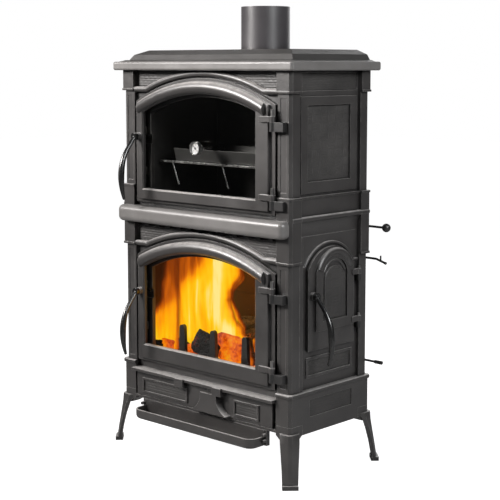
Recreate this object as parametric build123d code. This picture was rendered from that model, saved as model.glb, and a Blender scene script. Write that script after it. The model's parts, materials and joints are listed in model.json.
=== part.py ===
from build123d import *
import math
import os

# A cast-iron wood-burning stove with a bread oven above the firebox, in millimetres.
# Seen from the front, +X is to the right, +Y to the back and +Z up. Every piece is drawn about
# the middle of the body, and moved at the end so that the origin is under the middle of the whole.

# Body
body_width = 690.0
body_depth = 350.0
leg_gap = 140.0
leg_head_top = 170.0
base_top = 264.0
shelf_bottom = 707.0
shelf_top = 758.0
block_below_shelf = 74.0
block_above_shelf = 63.0
frieze_height = 62.0
plate_bottom = 1174.0
plate_top = 1235.0
casting = 10.0
thin_casting = 8.0
touch_gap = 0.3

# Corner posts
post_face = 48.0
post_return = 40.0
post_chamfer = 8.0
block_proud = 6.0
cap_proud = 8.0
cap_height = 6.0
flute_depth = 1.5
flute_width = 22.0
flute_end = 14.0

# Top plate
rim_overhang = 26.0
rim_height = 26.0
rim_round = 6.0
rim_corner = 6.0
slope_start = 14.0
slope_rise = 5.0
slope_inset = 16.0
tier_front_inset = 38.0
tier_side_inset = 31.0
tier_back_inset = 13.0
tier_rise = 21.0
tier_lean = 14.0
tier_taper = 33.0
tier_back_taper = 7.0
plate_wall = 11.0
plate_land = 20.0
plate_step_in = 24.0
plate_step_down = 8.0

# Flue
flue_radius = 75.0
flue_wall = 2.0
flue_offset = 100.0
flue_height = 129.0
collar_lip = 3.0
collar_seat = 3.0
collar_wall = 6.0
collar_depth = 30.0
fit_gap = 0.2
socket_grow = 0.6
socket_clear = 2.0

# Front castings and their mouths
front_recess = 12.0
front_thickness = 12.0
mouth_lap = 52.0
mouth_arch_lap = 56.0
bead_beyond_door = 13.0
bead_width = 8.0
bead_height = 5.0
oven_door_head_gap = 22.0
fire_door_head_gap = 32.0
mouth_sill = 30.0
bead_rise = 49.0
ledge_drop = 20.0
ledge_thickness = 8.0
ledge_reach = 25.0
ledge_lug_offsets = (-78.0, 82.0)
ledge_lug_width = 34.0
ledge_lug_drop = 18.0
ledge_lug_reach = 6.0
ledge_lug_clear = 1.0

# Doors on the front
door_gap = 5.0
door_side_gap = 9.0
door_radius = 612.0
door_plate = 8.0
raised_inset = 18.0
raised_arch_inset = 9.0
raised_proud = 10.0
window_left_inset = 38.0
window_right_inset = 70.0
window_arch_inset = 47.0
door_edge_round = 3.0
window_bevel = 4.0
moulding_inset = 27.0
moulding_half_width = 17.0
moulding_proud = 12.0
moulding_right_gap = 12.0
oven_door_foot_gap = 12.0
oven_window_sill = 42.0
fire_door_foot_gap = 6.0
fire_window_sill = 54.0
glass_lap = 9.0
glass_seat = 5.0
glass_thickness = 4.0
gasket_width = 8.0
gasket_edge = 4.0
gasket_groove = 3.0
clip_width = 24.0
clip_thickness = 2.2
clip_lap = 7.0
clip_reach = 16.0
clip_spacing = 150.0
clip_shares = (0.2, 0.6)

# Hinges of the front doors
hinge_out = 1.0
hinge_forward = 14.0
hinge_pin_radius = 5.0
running_gap = 0.06
hinge_eye_radius = 9.0
strap_half_height = 8.0
strap_length = 49.0
strap_thickness = 8.0
strap_sink = 2.0
bracket_height = 26.0
bracket_width = 33.0
bracket_front = 3.0
pin_above = 28.0
pin_below = 27.0
oven_hinge_heights = (50.0, 270.0)
fire_hinge_heights = (58.0, 286.0)

# Handles, as steps out from the hub and down from it
handle_inset = 22.0
oven_handle_height = 202.0
fire_handle_height = 220.0
boss_radius = 12.0
boss_height = 22.0
hub_height = 12.0
hub_inset = 1.0
spindle_radius = 5.0
bow_out = (6.0, 27.0, 50.0, 61.0, 60.0, 52.0)
bow_down = (0.0, 26.0, 62.0, 106.0, 152.0, 188.0)
bow_radius = (6.0, 6.5, 8.0, 9.5, 8.0, 4.5)
cam_length = 22.0
cam_width = 9.0
cam_thickness = 4.0
cam_room = 6.0
cam_clear = 1.0

# Oven thermometer
dial_above_sill = 134.0
dial_aside = 4.0
dial_radius = 20.0
dial_depth = 12.0
dial_stand_off = 13.0
dial_lip = 2.5
dial_recess = 5.0
stem_radius = 3.5
stem_length = 48.0
stem_nut_radius = 8.0
stem_nut_height = 2.0
needle_length = 14.0
needle_tail = 5.0
needle_width = 2.4
needle_thickness = 1.0
needle_pin_radius = 1.2
needle_hub_radius = 3.2
needle_lean = 45.0

# Shelf between oven and firebox
shelf_proud = 31.0
shelf_round = 16.0
shelf_corner = 18.0
shelf_lap = 20.0
slot_count = 13
slot_width = 30.0
slot_height = 9.0
slot_depth = 14.0

# Sides
side_frame_margin = 11.0
side_frame_width = 29.0
side_frame_above_block = 8.0
side_frame_below_frieze = 10.0
side_field_sill = 32.0
side_field_head = 25.0
side_frame_proud = 4.0
field_recess = 2.5
frieze_margin = 6.0
side_strip = 14.0
band_bead_radius = 8.0
band_bead_out = 3.0
band_fascia_recess = 4.0
cove_above_shelf = 9.0
cove_belly = 2.5
lower_frame_foot = 32.0
lower_frame_height = 60.0
lower_frame_width = 8.0

# Side door
side_centre = 6.0
side_arch_drop = 154.0
side_bead_gap = 10.0
side_bead_rise = 65.0
side_bead_width = 5.0
side_mouth_lap = 22.0
side_mouth_sill = 24.0
leaf_margin = 31.0
leaf_shoulder = 14.0
leaf_foot_gap = 20.0
leaf_plate = 8.0
leaf_gap = 3.0
leaf_frame_aside = 10.0
leaf_frame_rise = 26.0
leaf_frame_inset = 31.0
leaf_frame_width = 30.0
leaf_stile_inset = 19.0
leaf_stile_width = 30.0
leaf_stile_proud = 6.0
leaf_ring_half_width = 10.5
leaf_ring_start = 22.0
leaf_ring_rise = 6.0
leaf_inner_ring_inset = 7.0
leaf_inner_ring_half_width = 5.0
leaf_inner_ring_rise = 5.0
leaf_sill_foot = 54.0
leaf_sill_height = 27.0
leaf_panel_gap = 8.0
leaf_panel_drop = 13.0
leaf_panel_shoulder = 1.0
leaf_panel_proud = 4.0
side_handle_inset = 18.0
side_handle_drop = 18.0
side_boss_height = 10.0
side_hinge_foot = 67.0
side_hinge_rise = 32.0
side_hinge_forward = 14.0
side_hinge_beyond = 15.0
side_eye_radius = 7.0
side_pin_radius = 4.0
side_strap_length = 34.0
side_strap_half_height = 8.0
side_bracket_height = 20.0
side_pin_above = 8.0

# Back
back_sheet = 5.0
cover_radius = 80.0
cover_drop = 124.0
cover_thickness = 6.0
bolt_radius = 4.0
bolt_head_radius = 7.0
bolt_head_height = 5.0
bolt_head_round = 1.6
cover_bolt_circle = 66.0
back_bolt_rows = 4
back_bolt_inset = 12.0
back_bolt_margin = 80.0

# Base, legs and ash compartment
base_wall = 10.0
base_bead = 6.0
base_flange = 30.0
base_bead_proud = 4.0
skirt_field_drop = 27.0
skirt_field_height = 50.0
skirt_field_margin = 39.0
leg_head_size = 54.0
leg_head_middle = 142.0
leg_head_bottom = 126.0
leg_head_foot = 34.0
leg_half_widths = (28.0, 28.0, 26.0, 24.0, 23.0)
leg_facet_fall = (20.0, 12.0, 8.0, 6.0, 5.0)
leg_ridge_half = 6.0
leg_levels = (150.0, 126.0, 90.0, 50.0, 12.0)
leg_out = (3.0, 5.0, 11.0, 18.0, 24.0)
leg_thickness = (16.0, 13.0, 11.0, 10.0, 10.0)
foot_height = 12.0
foot_out = 29.0
foot_depth = 23.0
floor_plate = 8.0
floor_plate_bottom = 148.0
ash_front_gap = 12.0
ash_front_bottom = 159.0
ash_front_head_gap = 4.0
ash_front_forward = 9.0
ash_front_thickness = 12.0
ash_panel_sill = 10.0
ash_panel_head = 16.0
ash_panel_rim = 6.0
ash_panel_proud = 4.0
ash_panel_left_margin = 27.0
ash_panel_left_end = -58.0
ash_panel_right_margin = 49.0
ash_panel_right_start = 136.0
bell_centre = 48.0
bell_foot = 4.0
bell_head = 10.0
bell_foot_half = 73.0
bell_neck_half = 33.0
bell_proud = 22.0
bell_wall = 5.0
bell_shoulder_drop = 19.0
bell_flare = 9.0
pan_inset = 23.0
pan_length = 290.0
pan_below_front = 13.7
pan_wall = 2.0
rail_width = 5.0
rail_height = 10.0

# Ash lip
lip_inset = 33.0
lip_front = 63.0
lip_back = 3.0
lip_low = 97.0
lip_high = 128.0
lip_wall = 5.0
lip_round = 14.0
lip_corner = 30.0
arm_width = 10.0
peg_radius = 5.0
peg_reach = 12.0
peg_levels = (134.0, 116.0)

# Firebox
hearth_thickness = 8.0
brick_thickness = 24.0
brick_head_gap = 17.0
brick_clear = 5.0
grate_length = 320.0
grate_depth = 200.0
grate_thickness = 10.0
grate_lap = 15.0
grate_slots = 9
grate_slot_width = 14.0
grate_offset = -10.0
guard_centre = 8.0
guard_pitch = 132.0
guard_post_foot = 15.0
guard_post_head = 10.0
guard_rise = 124.0
guard_bar_height = 26.0
guard_depth = 12.0
guard_gap = 6.0
guard_half = 215.0
baffle_thickness = 10.0
baffle_back_gap = 55.0

# Oven
oven_wall = 5.0
smoke_passage = 83.0
oven_head_gap = 63.0
oven_back_gap = 28.0
smoke_slot_width = 55.0
smoke_slot_length = 200.0
runner_rise = 126.0
runner_reach = 18.0
runner_thickness = 4.0
wire_radius = 2.5
rack_bar = 6.0
rack_front_gap = 19.0
rack_back_gap = 20.0
rack_wires = 11
rack_leg_drop = 68.0
rack_leg_lean = 26.0
rack_leg_offsets = (-176.0, 36.0)
tray_side_gap = 66.0
tray_front_gap = 8.0
tray_back_gap = 16.0
tray_height = 38.0
tray_wall = 2.0
tray_flare = 5.0

# Control rods at the back
rod_radius = 3.5
rod_gap = 0.3
rod_behind = 13.0
damper_rise = 4.0
upper_air_drop = 92.0
primary_air_rise = 38.0
rod_beyond = 47.0
rod_start = 10.0
shutter_width = 100.0
shutter_height = 50.0
shutter_thickness = 2.0
shutter_centre = 160.0
air_hole_width = 60.0
air_hole_height = 24.0
guide_thickness = 12.0
guide_on_post = 9.0
guide_at_panel = 66.0
guide_half_height = 8.0
ball_radius = 13.0
ball_flat = 1.5
crook_drop = 10.0
crook_beyond = 22.0
crook_run = 35.0
crook_end_radius = 4.5
lever_along_crook = 17.0
lever_length = 16.0
lever_radius = 2.5
pull_beyond = 22.0
pull_length = 26.0
pull_radius = 5.5

# Places that follow from the sizes above
half_width = body_width / 2
half_depth = body_depth / 2
post_inner = half_width - post_face
post_back_edge = half_depth - post_return
post_inside = half_depth - casting
front_face = half_depth - front_recess
front_back = front_face - front_thickness
block_low = shelf_bottom - block_below_shelf
block_high = shelf_top + block_above_shelf
frieze_bottom = plate_bottom - frieze_height
ledge_top = base_top - ledge_drop
ledge_bottom = ledge_top - ledge_thickness
slot_pitch = (2 * post_inner - slot_width) / (slot_count - 1)
door_half = post_inner - door_side_gap
raised_half = door_half - raised_inset
mouth_half = door_half - mouth_lap
window_left = door_half - window_left_inset
window_right = door_half - window_right_inset
raised_radius = door_radius - raised_arch_inset
mouth_radius = door_radius - mouth_arch_lap
window_radius = door_radius - window_arch_inset
moulding_radius = door_radius - moulding_inset
bead_radius_on_front = door_radius + bead_beyond_door
bead_line_above_centre = bead_radius_on_front - bead_rise
oven_door_bottom = shelf_top + oven_door_foot_gap
oven_arch_centre = plate_bottom - oven_door_head_gap - door_radius
oven_mouth_bottom = oven_door_bottom + mouth_sill
oven_window_bottom = oven_door_bottom + oven_window_sill
oven_hinge_levels = tuple(oven_door_bottom + height for height in oven_hinge_heights)
oven_handle_level = oven_door_bottom + oven_handle_height
fire_door_bottom = base_top + fire_door_foot_gap
fire_arch_centre = shelf_bottom - fire_door_head_gap - door_radius
fire_mouth_bottom = fire_door_bottom + mouth_sill
fire_window_bottom = fire_door_bottom + fire_window_sill
fire_hinge_levels = tuple(fire_door_bottom + height for height in fire_hinge_heights)
fire_handle_level = fire_door_bottom + fire_handle_height
door_back = front_face + door_gap
door_front = door_back + door_plate
raised_front = door_front + raised_proud
rim_half = half_width + rim_overhang
rim_reach = half_depth + rim_overhang
rim_top = plate_bottom + rim_height
tier_back = rim_reach - tier_back_inset
tier_shoulder = rim_top + tier_rise
socket_radius = flue_radius - flue_wall + socket_grow
collar_radius = socket_radius - fit_gap
flue_bottom = plate_top + collar_seat
flue_top = flue_bottom + flue_height
socket_top = flue_bottom + collar_depth + socket_clear
hinge_x = door_half + hinge_out
hinge_reach = half_depth + hinge_forward
handle_x = -(door_half - handle_inset)
boss_front = door_front + boss_height
side_face = half_width - casting
side_back = side_face - casting
side_frame_half = post_back_edge - side_frame_margin
side_field_half = side_frame_half - side_frame_width
side_frame_low = block_high + side_frame_above_block
side_frame_high = frieze_bottom - side_frame_below_frieze
side_field_low = side_frame_low + side_field_sill
side_field_high = side_frame_high - side_field_head
band_bead_level = shelf_top
cove_bottom = shelf_bottom + cove_above_shelf
lower_frame_low = base_top + lower_frame_foot
lower_frame_high = lower_frame_low + lower_frame_height
leaf_half = post_back_edge - leaf_margin
leaf_radius = leaf_half + leaf_shoulder
leaf_bottom = lower_frame_high + leaf_foot_gap
leaf_frame_radius = leaf_radius - leaf_frame_inset
leaf_arch_inner = leaf_frame_radius - leaf_frame_width
leaf_stile_outer = leaf_half - leaf_stile_inset
leaf_ring_radius = leaf_frame_radius - leaf_ring_half_width
leaf_inner_ring_radius = leaf_arch_inner - leaf_inner_ring_inset
leaf_panel_half = leaf_stile_outer - leaf_stile_width - leaf_panel_gap
leaf_sill_bottom = leaf_bottom + leaf_sill_foot
leaf_sill_top = leaf_sill_bottom + leaf_sill_height
side_arch_centre = shelf_bottom - side_arch_drop
side_bead_radius = leaf_radius + side_bead_gap
side_bead_level = side_arch_centre + side_bead_rise
side_mouth_half = leaf_half - side_mouth_lap
side_mouth_radius = leaf_radius - side_mouth_lap
side_mouth_bottom = leaf_bottom + side_mouth_sill
side_handle_level = side_arch_centre - side_handle_drop
side_hinge_levels = (leaf_bottom + side_hinge_foot, side_arch_centre + side_hinge_rise)
leaf_back = side_face + leaf_gap
leaf_front = leaf_back + leaf_plate
side_hinge_x = leaf_back + side_hinge_forward
side_hinge_y = side_centre + leaf_half + side_hinge_beyond
side_handle_y = side_centre - leaf_half + side_handle_inset
side_boss_front = leaf_front + side_boss_height
back_face = half_depth - casting
back_inner = back_face - back_sheet
base_half = half_width + block_proud
base_reach = half_depth + block_proud
skirt_field_high = base_top - skirt_field_drop
skirt_field_low = skirt_field_high - skirt_field_height
skirt_field_half = post_back_edge - skirt_field_margin
hearth_bottom = base_top
hearth_top = hearth_bottom + hearth_thickness
brick_top = shelf_bottom - brick_head_gap
guard_top = hearth_top + guard_rise
cover_level = plate_bottom - cover_drop
dial_x = (window_right - window_left) / 2 + dial_aside
dial_z = oven_window_bottom + dial_above_sill
glass_front = door_back + glass_seat
ash_front_half = post_inner - ash_front_gap
ash_front_top = ledge_bottom - ash_front_head_gap
ash_front_back = half_depth + ash_front_forward - ash_front_thickness
ash_panel_low = ash_front_bottom + ash_panel_sill
ash_panel_high = ash_front_top - ash_panel_head
ash_panel_left = (-ash_front_half + ash_panel_left_margin, ash_panel_left_end)
ash_panel_right = (ash_panel_right_start, ash_front_half - ash_panel_right_margin)
bell_low = ash_front_bottom + bell_foot
bell_high = ash_front_top - bell_head
bell_shoulder = bell_high - bell_shoulder_drop
pan_half = ash_front_half - pan_inset
pan_bottom = floor_plate_bottom + floor_plate + touch_gap
pan_height = ash_front_top - pan_below_front - pan_bottom
lip_half = ash_front_half - lip_inset
rod_y = half_depth + rod_behind
rod_levels = (
    shelf_bottom + damper_rise,
    shelf_bottom - upper_air_drop,
    base_top + primary_air_rise,
)
rod_end = half_width + rod_beyond
guide_at_post = post_inner + guide_on_post
crook_start = half_width + crook_beyond
crook_end = crook_start + crook_run
lever_at = crook_start + lever_along_crook
pull_start = half_width + pull_beyond
pull_end = pull_start + pull_length
oven_half = side_back - smoke_passage
oven_bottom = shelf_top + thin_casting
oven_height = plate_bottom - oven_head_gap - oven_bottom
oven_back = back_inner - oven_back_gap
runner_level = oven_bottom + runner_rise
rack_front = front_back - rack_front_gap
rack_back = oven_back - rack_back_gap
tray_half = oven_half - tray_side_gap
tray_front = rack_front - tray_front_gap
tray_back = rack_back - tray_back_gap
inner_half = side_back - touch_gap
bow_reach = max(o + r for o, r in zip(bow_out, bow_radius))

bolt_x = post_inner + back_bolt_inset
bolt_low = base_top + back_bolt_margin
bolt_pitch = (plate_bottom - back_bolt_margin - bolt_low) / (back_bolt_rows - 1)
back_bolts = [
    (side * bolt_x, bolt_low + i * bolt_pitch)
    for i in range(back_bolt_rows)
    for side in (-1, 1)
]
cover_step = cover_bolt_circle / math.sqrt(2)
cover_bolts = [
    (sx * cover_step, cover_level + sz * cover_step) for sx in (-1, 1) for sz in (-1, 1)
]

# The origin lies under the middle of the whole stove, handles and rods included
foot_spread = (foot_out + leg_half_widths[-1]) / math.sqrt(2)
reach_left = max(rim_half, base_half + foot_spread)
ball_reach = rod_end + 2 * ball_radius - ball_flat
reach_right = max(ball_reach, side_boss_front + touch_gap + bow_reach)
reach_front = boss_front + touch_gap + bow_reach
reach_back = max(rim_reach, base_reach + foot_spread)
origin_x = (reach_right - reach_left) / 2
origin_y = (reach_back - reach_front) / 2


# Frames in which the front and the side are drawn: across, up and outwards
front_frame = Plane(origin=(0, 0, 0), x_dir=(1, 0, 0), z_dir=(0, -1, 0))
side_frame = Plane(origin=(0, 0, 0), x_dir=(0, 1, 0), z_dir=(1, 0, 0))


# Small helpers
def block(x, y, z):
    """A box between two limits along each axis."""
    size = [b - a for a, b in (x, y, z)]
    middle = [(a + b) / 2 for a, b in (x, y, z)]
    return Pos(*middle) * Box(*size)


def rod_along_x(y, z, start, end, radius):
    return Pos((start + end) / 2, y, z) * Rot(0, 90, 0) * Cylinder(radius, end - start)


def rod_along_y(x, z, start, end, radius):
    return Pos(x, (start + end) / 2, z) * Rot(90, 0, 0) * Cylinder(radius, end - start)


def rod_along_z(x, y, start, end, radius):
    return Pos(x, y, (start + end) / 2) * Cylinder(radius, end - start)


def slab(outline, low, high):
    """A flat outline given a thickness between two distances out from its plane."""
    return Pos(0, 0, low) * extrude(outline, high - low, dir=(0, 0, 1))


def rectangle(x, y):
    """A flat rectangle between two limits along each axis."""
    return Pos(sum(x) / 2, sum(y) / 2) * Rectangle(x[1] - x[0], y[1] - y[0])


def arched(left, right, bottom, centre, radius):
    """A flat outline with upright sides and an arc on top about the given centre."""
    left_top = centre[1] + math.sqrt(radius**2 - (left - centre[0]) ** 2)
    right_top = centre[1] + math.sqrt(radius**2 - (right - centre[0]) ** 2)
    top = (centre[0], centre[1] + radius)
    lines = [
        Line((left, left_top), (left, bottom)),
        Line((left, bottom), (right, bottom)),
        Line((right, bottom), (right, right_top)),
        ThreePointArc((right, right_top), top, (left, left_top)),
    ]
    return make_face(lines)


def cut_rectangle(half_x, half_y, cut):
    """A rectangle about the middle with its corners cut off at 45 degrees."""
    corners = []
    for sx, sy in ((1, -1), (1, 1), (-1, 1), (-1, -1)):
        ends = [(sx * (half_x - cut), sy * half_y), (sx * half_x, sy * (half_y - cut))]
        corners += ends if sx * sy < 0 else ends[::-1]
    return make_face(Polyline(*corners, close=True))


def half_round(middle, half_width, low, proud):
    """A flat-backed rounded moulding seen end on, standing on a given distance out."""
    left, right = middle - half_width, middle + half_width
    dome = ThreePointArc((right, low), (middle, low + proud), (left, low))
    return make_face([dome, Line((left, low), (right, low))])


def bead_outline(half_width, low, seat, proud):
    """A bead seen end on: a core sunk into its wall, and a rounded top on its seat."""
    crown = ThreePointArc((half_width, seat), (0, seat + proud), (-half_width, seat))
    core = Polyline((-half_width, seat), (-half_width, low), (half_width, low), (half_width, seat))
    return make_face([crown, core])


def arched_bead(outline, centre, radius, level, ends):
    """A bead that runs level, rises over an arch and runs level again, with mitred turns."""
    half = math.sqrt(radius**2 - (level - centre[1]) ** 2)
    left, right = (centre[0] - half, level), (centre[0] + half, level)
    top = (centre[0], centre[1] + radius)
    lines = [
        Line((ends[0], level), left),
        ThreePointArc(left, top, right),
        Line(right, (ends[1], level)),
    ]
    path = Wire([line.edge() for line in lines])
    start = Plane(origin=(ends[0], level, 0), x_dir=(0, 1, 0), z_dir=(1, 0, 0))
    return sweep(start * outline, path=path, transition=Transition.RIGHT)


def swept_arch(profile, centre, start):
    """A profile, drawn as radius and distance out, swept over an arch from side to side."""
    axis = Axis((centre[0], centre[1], 0), (0, 0, 1))
    upright = Plane(origin=(centre[0], centre[1], 0), x_dir=(1, 0, 0), z_dir=(0, -1, 0))
    first = (upright * profile).rotate(axis, start)
    return revolve(first, axis, 180 - 2 * start)


def arch_side_angle(half, radius):
    """The angle at which an arc reaches a given distance from its middle."""
    return math.degrees(math.acos(half / radius))


def corner_copies(part):
    """The piece at the front right, and the same at the other three corners."""
    front_left = mirror(part, about=Plane.YZ)
    return {
        "front_right": part,
        "front_left": front_left,
        "rear_right": mirror(part, about=Plane.XZ),
        "rear_left": mirror(front_left, about=Plane.XZ),
    }


def both_sides(part):
    """The piece on the right and its mirror image on the left."""
    return [part, mirror(part, about=Plane.YZ)]


# Corner posts
def post_stretch(low, high, grow):
    """A length of the front right post, its outer faces moved out by that much."""
    out_x = half_width + grow
    out_y = half_depth + grow
    outline = Polyline(
        (post_inner, -out_y),
        (out_x - post_chamfer, -out_y),
        (out_x, -out_y + post_chamfer),
        (out_x, -post_back_edge),
        (side_face, -post_back_edge),
        (side_face, -post_inside),
        (post_inner, -post_inside),
        close=True,
    )
    return slab(make_face(outline), low, high)


def make_post():
    post = post_stretch(base_top, plate_bottom, 0)
    for low, high in ((block_low, block_high), (frieze_bottom, plate_bottom)):
        post += post_stretch(low, high, block_proud)
        post += post_stretch(low, low + cap_height, cap_proud)
    post += post_stretch(block_high - cap_height, block_high, cap_proud)
    post += side_bead(-base_reach + post_chamfer, -post_back_edge)
    middle = post_inner + (post_face - post_chamfer) / 2
    across = (middle - flute_width / 2, middle + flute_width / 2)
    for low, high in ((base_top, block_low), (block_high, frieze_bottom)):
        groove = rectangle(across, (low + flute_end, high - flute_end))
        post -= front_frame * slab(groove, half_depth - flute_depth, half_depth + flute_depth)
    return post


def side_bead(start, end):
    """The round bead that runs along the side at the shelf's level."""
    middle = half_width + block_proud + band_bead_out - band_bead_radius
    bead = Pos(middle, 0, band_bead_level) * Rot(90, 0, 0) * Cylinder(
        band_bead_radius, end - start
    )
    return Pos(0, (start + end) / 2, 0) * bead


# Top plate and flue
def make_top_plate():
    rim = slab(cut_rectangle(rim_half, rim_reach, rim_corner), plate_bottom, rim_top)
    long_edges = rim.edges().filter_by(Axis.Z, reverse=True)
    plate = fillet(long_edges, rim_round)
    slope_low = rectangle(
        (-rim_half + slope_start, rim_half - slope_start),
        (-rim_reach + slope_start, tier_back),
    )
    slope_in = slope_start + slope_inset
    slope_high = rectangle(
        (-rim_half + slope_in, rim_half - slope_in), (-rim_reach + slope_in, tier_back)
    )
    plate += loft([Pos(0, 0, rim_top) * slope_low, Pos(0, 0, rim_top + slope_rise) * slope_high])
    tiers = []
    for level, inward, back in (
        (rim_top, 0, tier_back),
        (tier_shoulder, tier_lean, tier_back),
        (plate_top, tier_lean + tier_taper, tier_back - tier_back_taper),
    ):
        tier_half = rim_half - tier_side_inset - inward
        tier_front = -rim_reach + tier_front_inset + inward
        tiers.append(Pos(0, 0, level) * rectangle((-tier_half, tier_half), (tier_front, back)))
    plate += loft(tiers[:2])
    plate += loft(tiers[1:])
    for inward, down in ((0, plate_step_down), (plate_step_in, 0)):
        hollow_x = post_inner - plate_land - inward
        hollow_y = front_back - plate_land - inward
        levels = (plate_bottom, plate_top - plate_wall - down)
        plate -= block((-hollow_x, hollow_x), (-hollow_y, hollow_y), levels)
    return plate - rod_along_z(0, flue_offset, plate_bottom, plate_top, collar_radius + fit_gap)


def make_flue_pipe():
    """The short pipe, widened a little at its foot where it sits over the spigot."""
    pipe = rod_along_z(0, flue_offset, flue_bottom, flue_top, flue_radius)
    pipe -= rod_along_z(0, flue_offset, flue_bottom, flue_top, flue_radius - flue_wall)
    return pipe - rod_along_z(0, flue_offset, flue_bottom, socket_top, socket_radius)


def make_flue_spigot():
    seat = rod_along_z(0, flue_offset, plate_top, flue_bottom, flue_radius + collar_lip)
    ring_low = plate_top - collar_depth
    ring_high = flue_bottom + collar_depth
    ring = rod_along_z(0, flue_offset, ring_low, ring_high, collar_radius)
    bore = rod_along_z(0, flue_offset, ring_low, ring_high, collar_radius - collar_wall)
    return seat + ring - bore


# Front castings
def front_casting(low, high, centre, mouth_bottom, handle_level):
    """The wall round one of the front doors, with its arched mouth and arched bead."""
    origin = (0, centre)
    wall = slab(rectangle((-post_inner, post_inner), (low, high)), front_back, front_face)
    ear_y = (max(low, base_top), high)
    for ear in both_sides(block((post_inner, inner_half), ear_y, (front_back, post_inside))):
        wall += ear
    mouth = arched(-mouth_half, mouth_half, mouth_bottom, origin, mouth_radius)
    wall -= slab(mouth, front_back, front_face)
    wall -= cam_pocket(handle_x, handle_level, front_face, -mouth_half - handle_x)
    outline = bead_outline(bead_width, (front_back + front_face) / 2, half_depth, bead_height)
    level = centre + bead_line_above_centre
    ends = (-post_inner, post_inner)
    return wall + arched_bead(outline, origin, bead_radius_on_front, level, ends)


def cam_pocket(across, level, face, reach):
    """Room behind a wall's face for a door's latch cam, from its hub into the mouth."""
    room = max(cam_width / 2, spindle_radius) + cam_clear
    swing = cam_length + cam_clear
    outline = rectangle((across - room, across + reach), (level - swing, level + room))
    return slab(outline, face - cam_room, face)


def make_upper_front():
    casting_part = front_casting(
        shelf_top, plate_bottom, oven_arch_centre, oven_mouth_bottom, oven_handle_level
    )
    return front_frame * casting_part


def make_lower_front():
    casting_part = front_casting(
        ledge_bottom, shelf_bottom, fire_arch_centre, fire_mouth_bottom, fire_handle_level
    )
    slot_high = shelf_bottom - slot_height / 2
    for i in range(slot_count):
        middle = (i - (slot_count - 1) / 2) * slot_pitch
        across = (middle - slot_width / 2, middle + slot_width / 2)
        slot = rectangle(across, (slot_high - slot_height, slot_high))
        casting_part -= slab(slot, front_face - slot_depth / 2, 2 * half_depth)
    ledge = rectangle((-post_inner + touch_gap, post_inner - touch_gap), (ledge_bottom, ledge_top))
    casting_part += slab(ledge, front_face, half_depth + ledge_reach)
    return front_frame * casting_part


def make_mid_shelf():
    """The moulded shelf, with a tongue that reaches in between the posts."""
    front = -(base_reach + shelf_proud)
    levels = (shelf_bottom, shelf_top)
    shelf = block((-half_width, half_width), (front, -base_reach), levels)
    front_edges = shelf.edges().filter_by(Axis.Z).sort_by(Axis.Y)[:2]
    shelf = fillet(front_edges, shelf_corner)
    nose = shelf.edges().filter_by(Axis.Z, reverse=True)
    nose = nose.filter_by(lambda edge: edge.center().Y < -base_reach - touch_gap)
    shelf = fillet(nose, shelf_round)
    in_x = post_inner - touch_gap
    shelf += block((-in_x, in_x), (-base_reach, -front_back), levels)
    lap_x = inner_half - touch_gap
    return shelf + block((-lap_x, lap_x), (-front_back, -front_back + shelf_lap), levels)


# Doors on the front
def inset_door(bottom, centre, inset):
    """The door's outline drawn in from its edge."""
    half = door_half - inset
    return arched(-half, half, bottom + inset, (0, centre), door_radius - inset)


def window_outline(bottom, centre, grow):
    left, right = -window_left - grow, window_right + grow
    return arched(left, right, bottom - grow, (0, centre), window_radius + grow)


def make_front_door(bottom, window_bottom, centre, hinge_levels, handle_level):
    """A cast door with an arched window, its hinge straps and the boss of its handle."""
    origin = (0, centre)
    door = slab(inset_door(bottom, centre, 0), door_back, door_front)
    margin = door_radius - raised_radius
    raised = arched(-raised_half, raised_half, bottom + margin, origin, raised_radius)
    raised = slab(raised, door_front, raised_front)
    door += fillet(raised.faces().sort_by(Axis.Z)[-1].edges(), door_edge_round)
    low = raised_front - window_bevel
    door -= slab(window_outline(window_bottom, centre, 0), door_back, raised_front)
    bevel = window_outline(window_bottom, centre, 0)
    door -= Pos(0, 0, low) * extrude(bevel, window_bevel, dir=(0, 0, 1), taper=-45)
    start = arch_side_angle(raised_half, moulding_radius - moulding_half_width)
    dome = half_round(moulding_radius, moulding_half_width, raised_front, moulding_proud)
    arch = swept_arch(dome, origin, start)
    room_half = raised_half - door_edge_round
    room = (-room_half, room_half - moulding_right_gap)
    room_up = (bottom, centre + 2 * door_radius)
    door += arch & block(room, room_up, (door_front, 2 * half_depth))
    door -= slab(window_outline(window_bottom, centre, glass_lap), door_back, glass_front)
    groove = inset_door(bottom, centre, gasket_edge)
    groove -= inset_door(bottom, centre, gasket_edge + gasket_width)
    door -= slab(groove, door_back, door_back + gasket_groove)
    hub = Pos(handle_x, handle_level) * Circle(boss_radius)
    door += slab(hub, door_front, boss_front)
    for level in hinge_levels:
        strap_x = (hinge_x - strap_length, hinge_x)
        strap_z = (level - strap_half_height, level + strap_half_height)
        strap_high = hinge_reach + strap_thickness / 2
        door += slab(rectangle(strap_x, strap_z), raised_front - strap_sink, strap_high)
        door += rod_along_y(hinge_x, hinge_reach, *strap_z, hinge_eye_radius)
        door -= rod_along_y(hinge_x, hinge_reach, *strap_z, hinge_pin_radius + running_gap)
    bore = Pos(handle_x, handle_level) * Circle(spindle_radius + running_gap)
    return front_frame * (door - slab(bore, door_back, boss_front))


def make_door_glass(window_bottom, centre):
    outline = window_outline(window_bottom, centre, glass_lap - touch_gap)
    return slab(outline, glass_front - glass_thickness, glass_front)


def make_door_gasket(bottom, centre):
    ring = inset_door(bottom, centre, gasket_edge + fit_gap)
    ring -= inset_door(bottom, centre, gasket_edge + gasket_width - fit_gap)
    return front_frame * slab(ring, front_face + touch_gap, door_back + gasket_groove)


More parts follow.
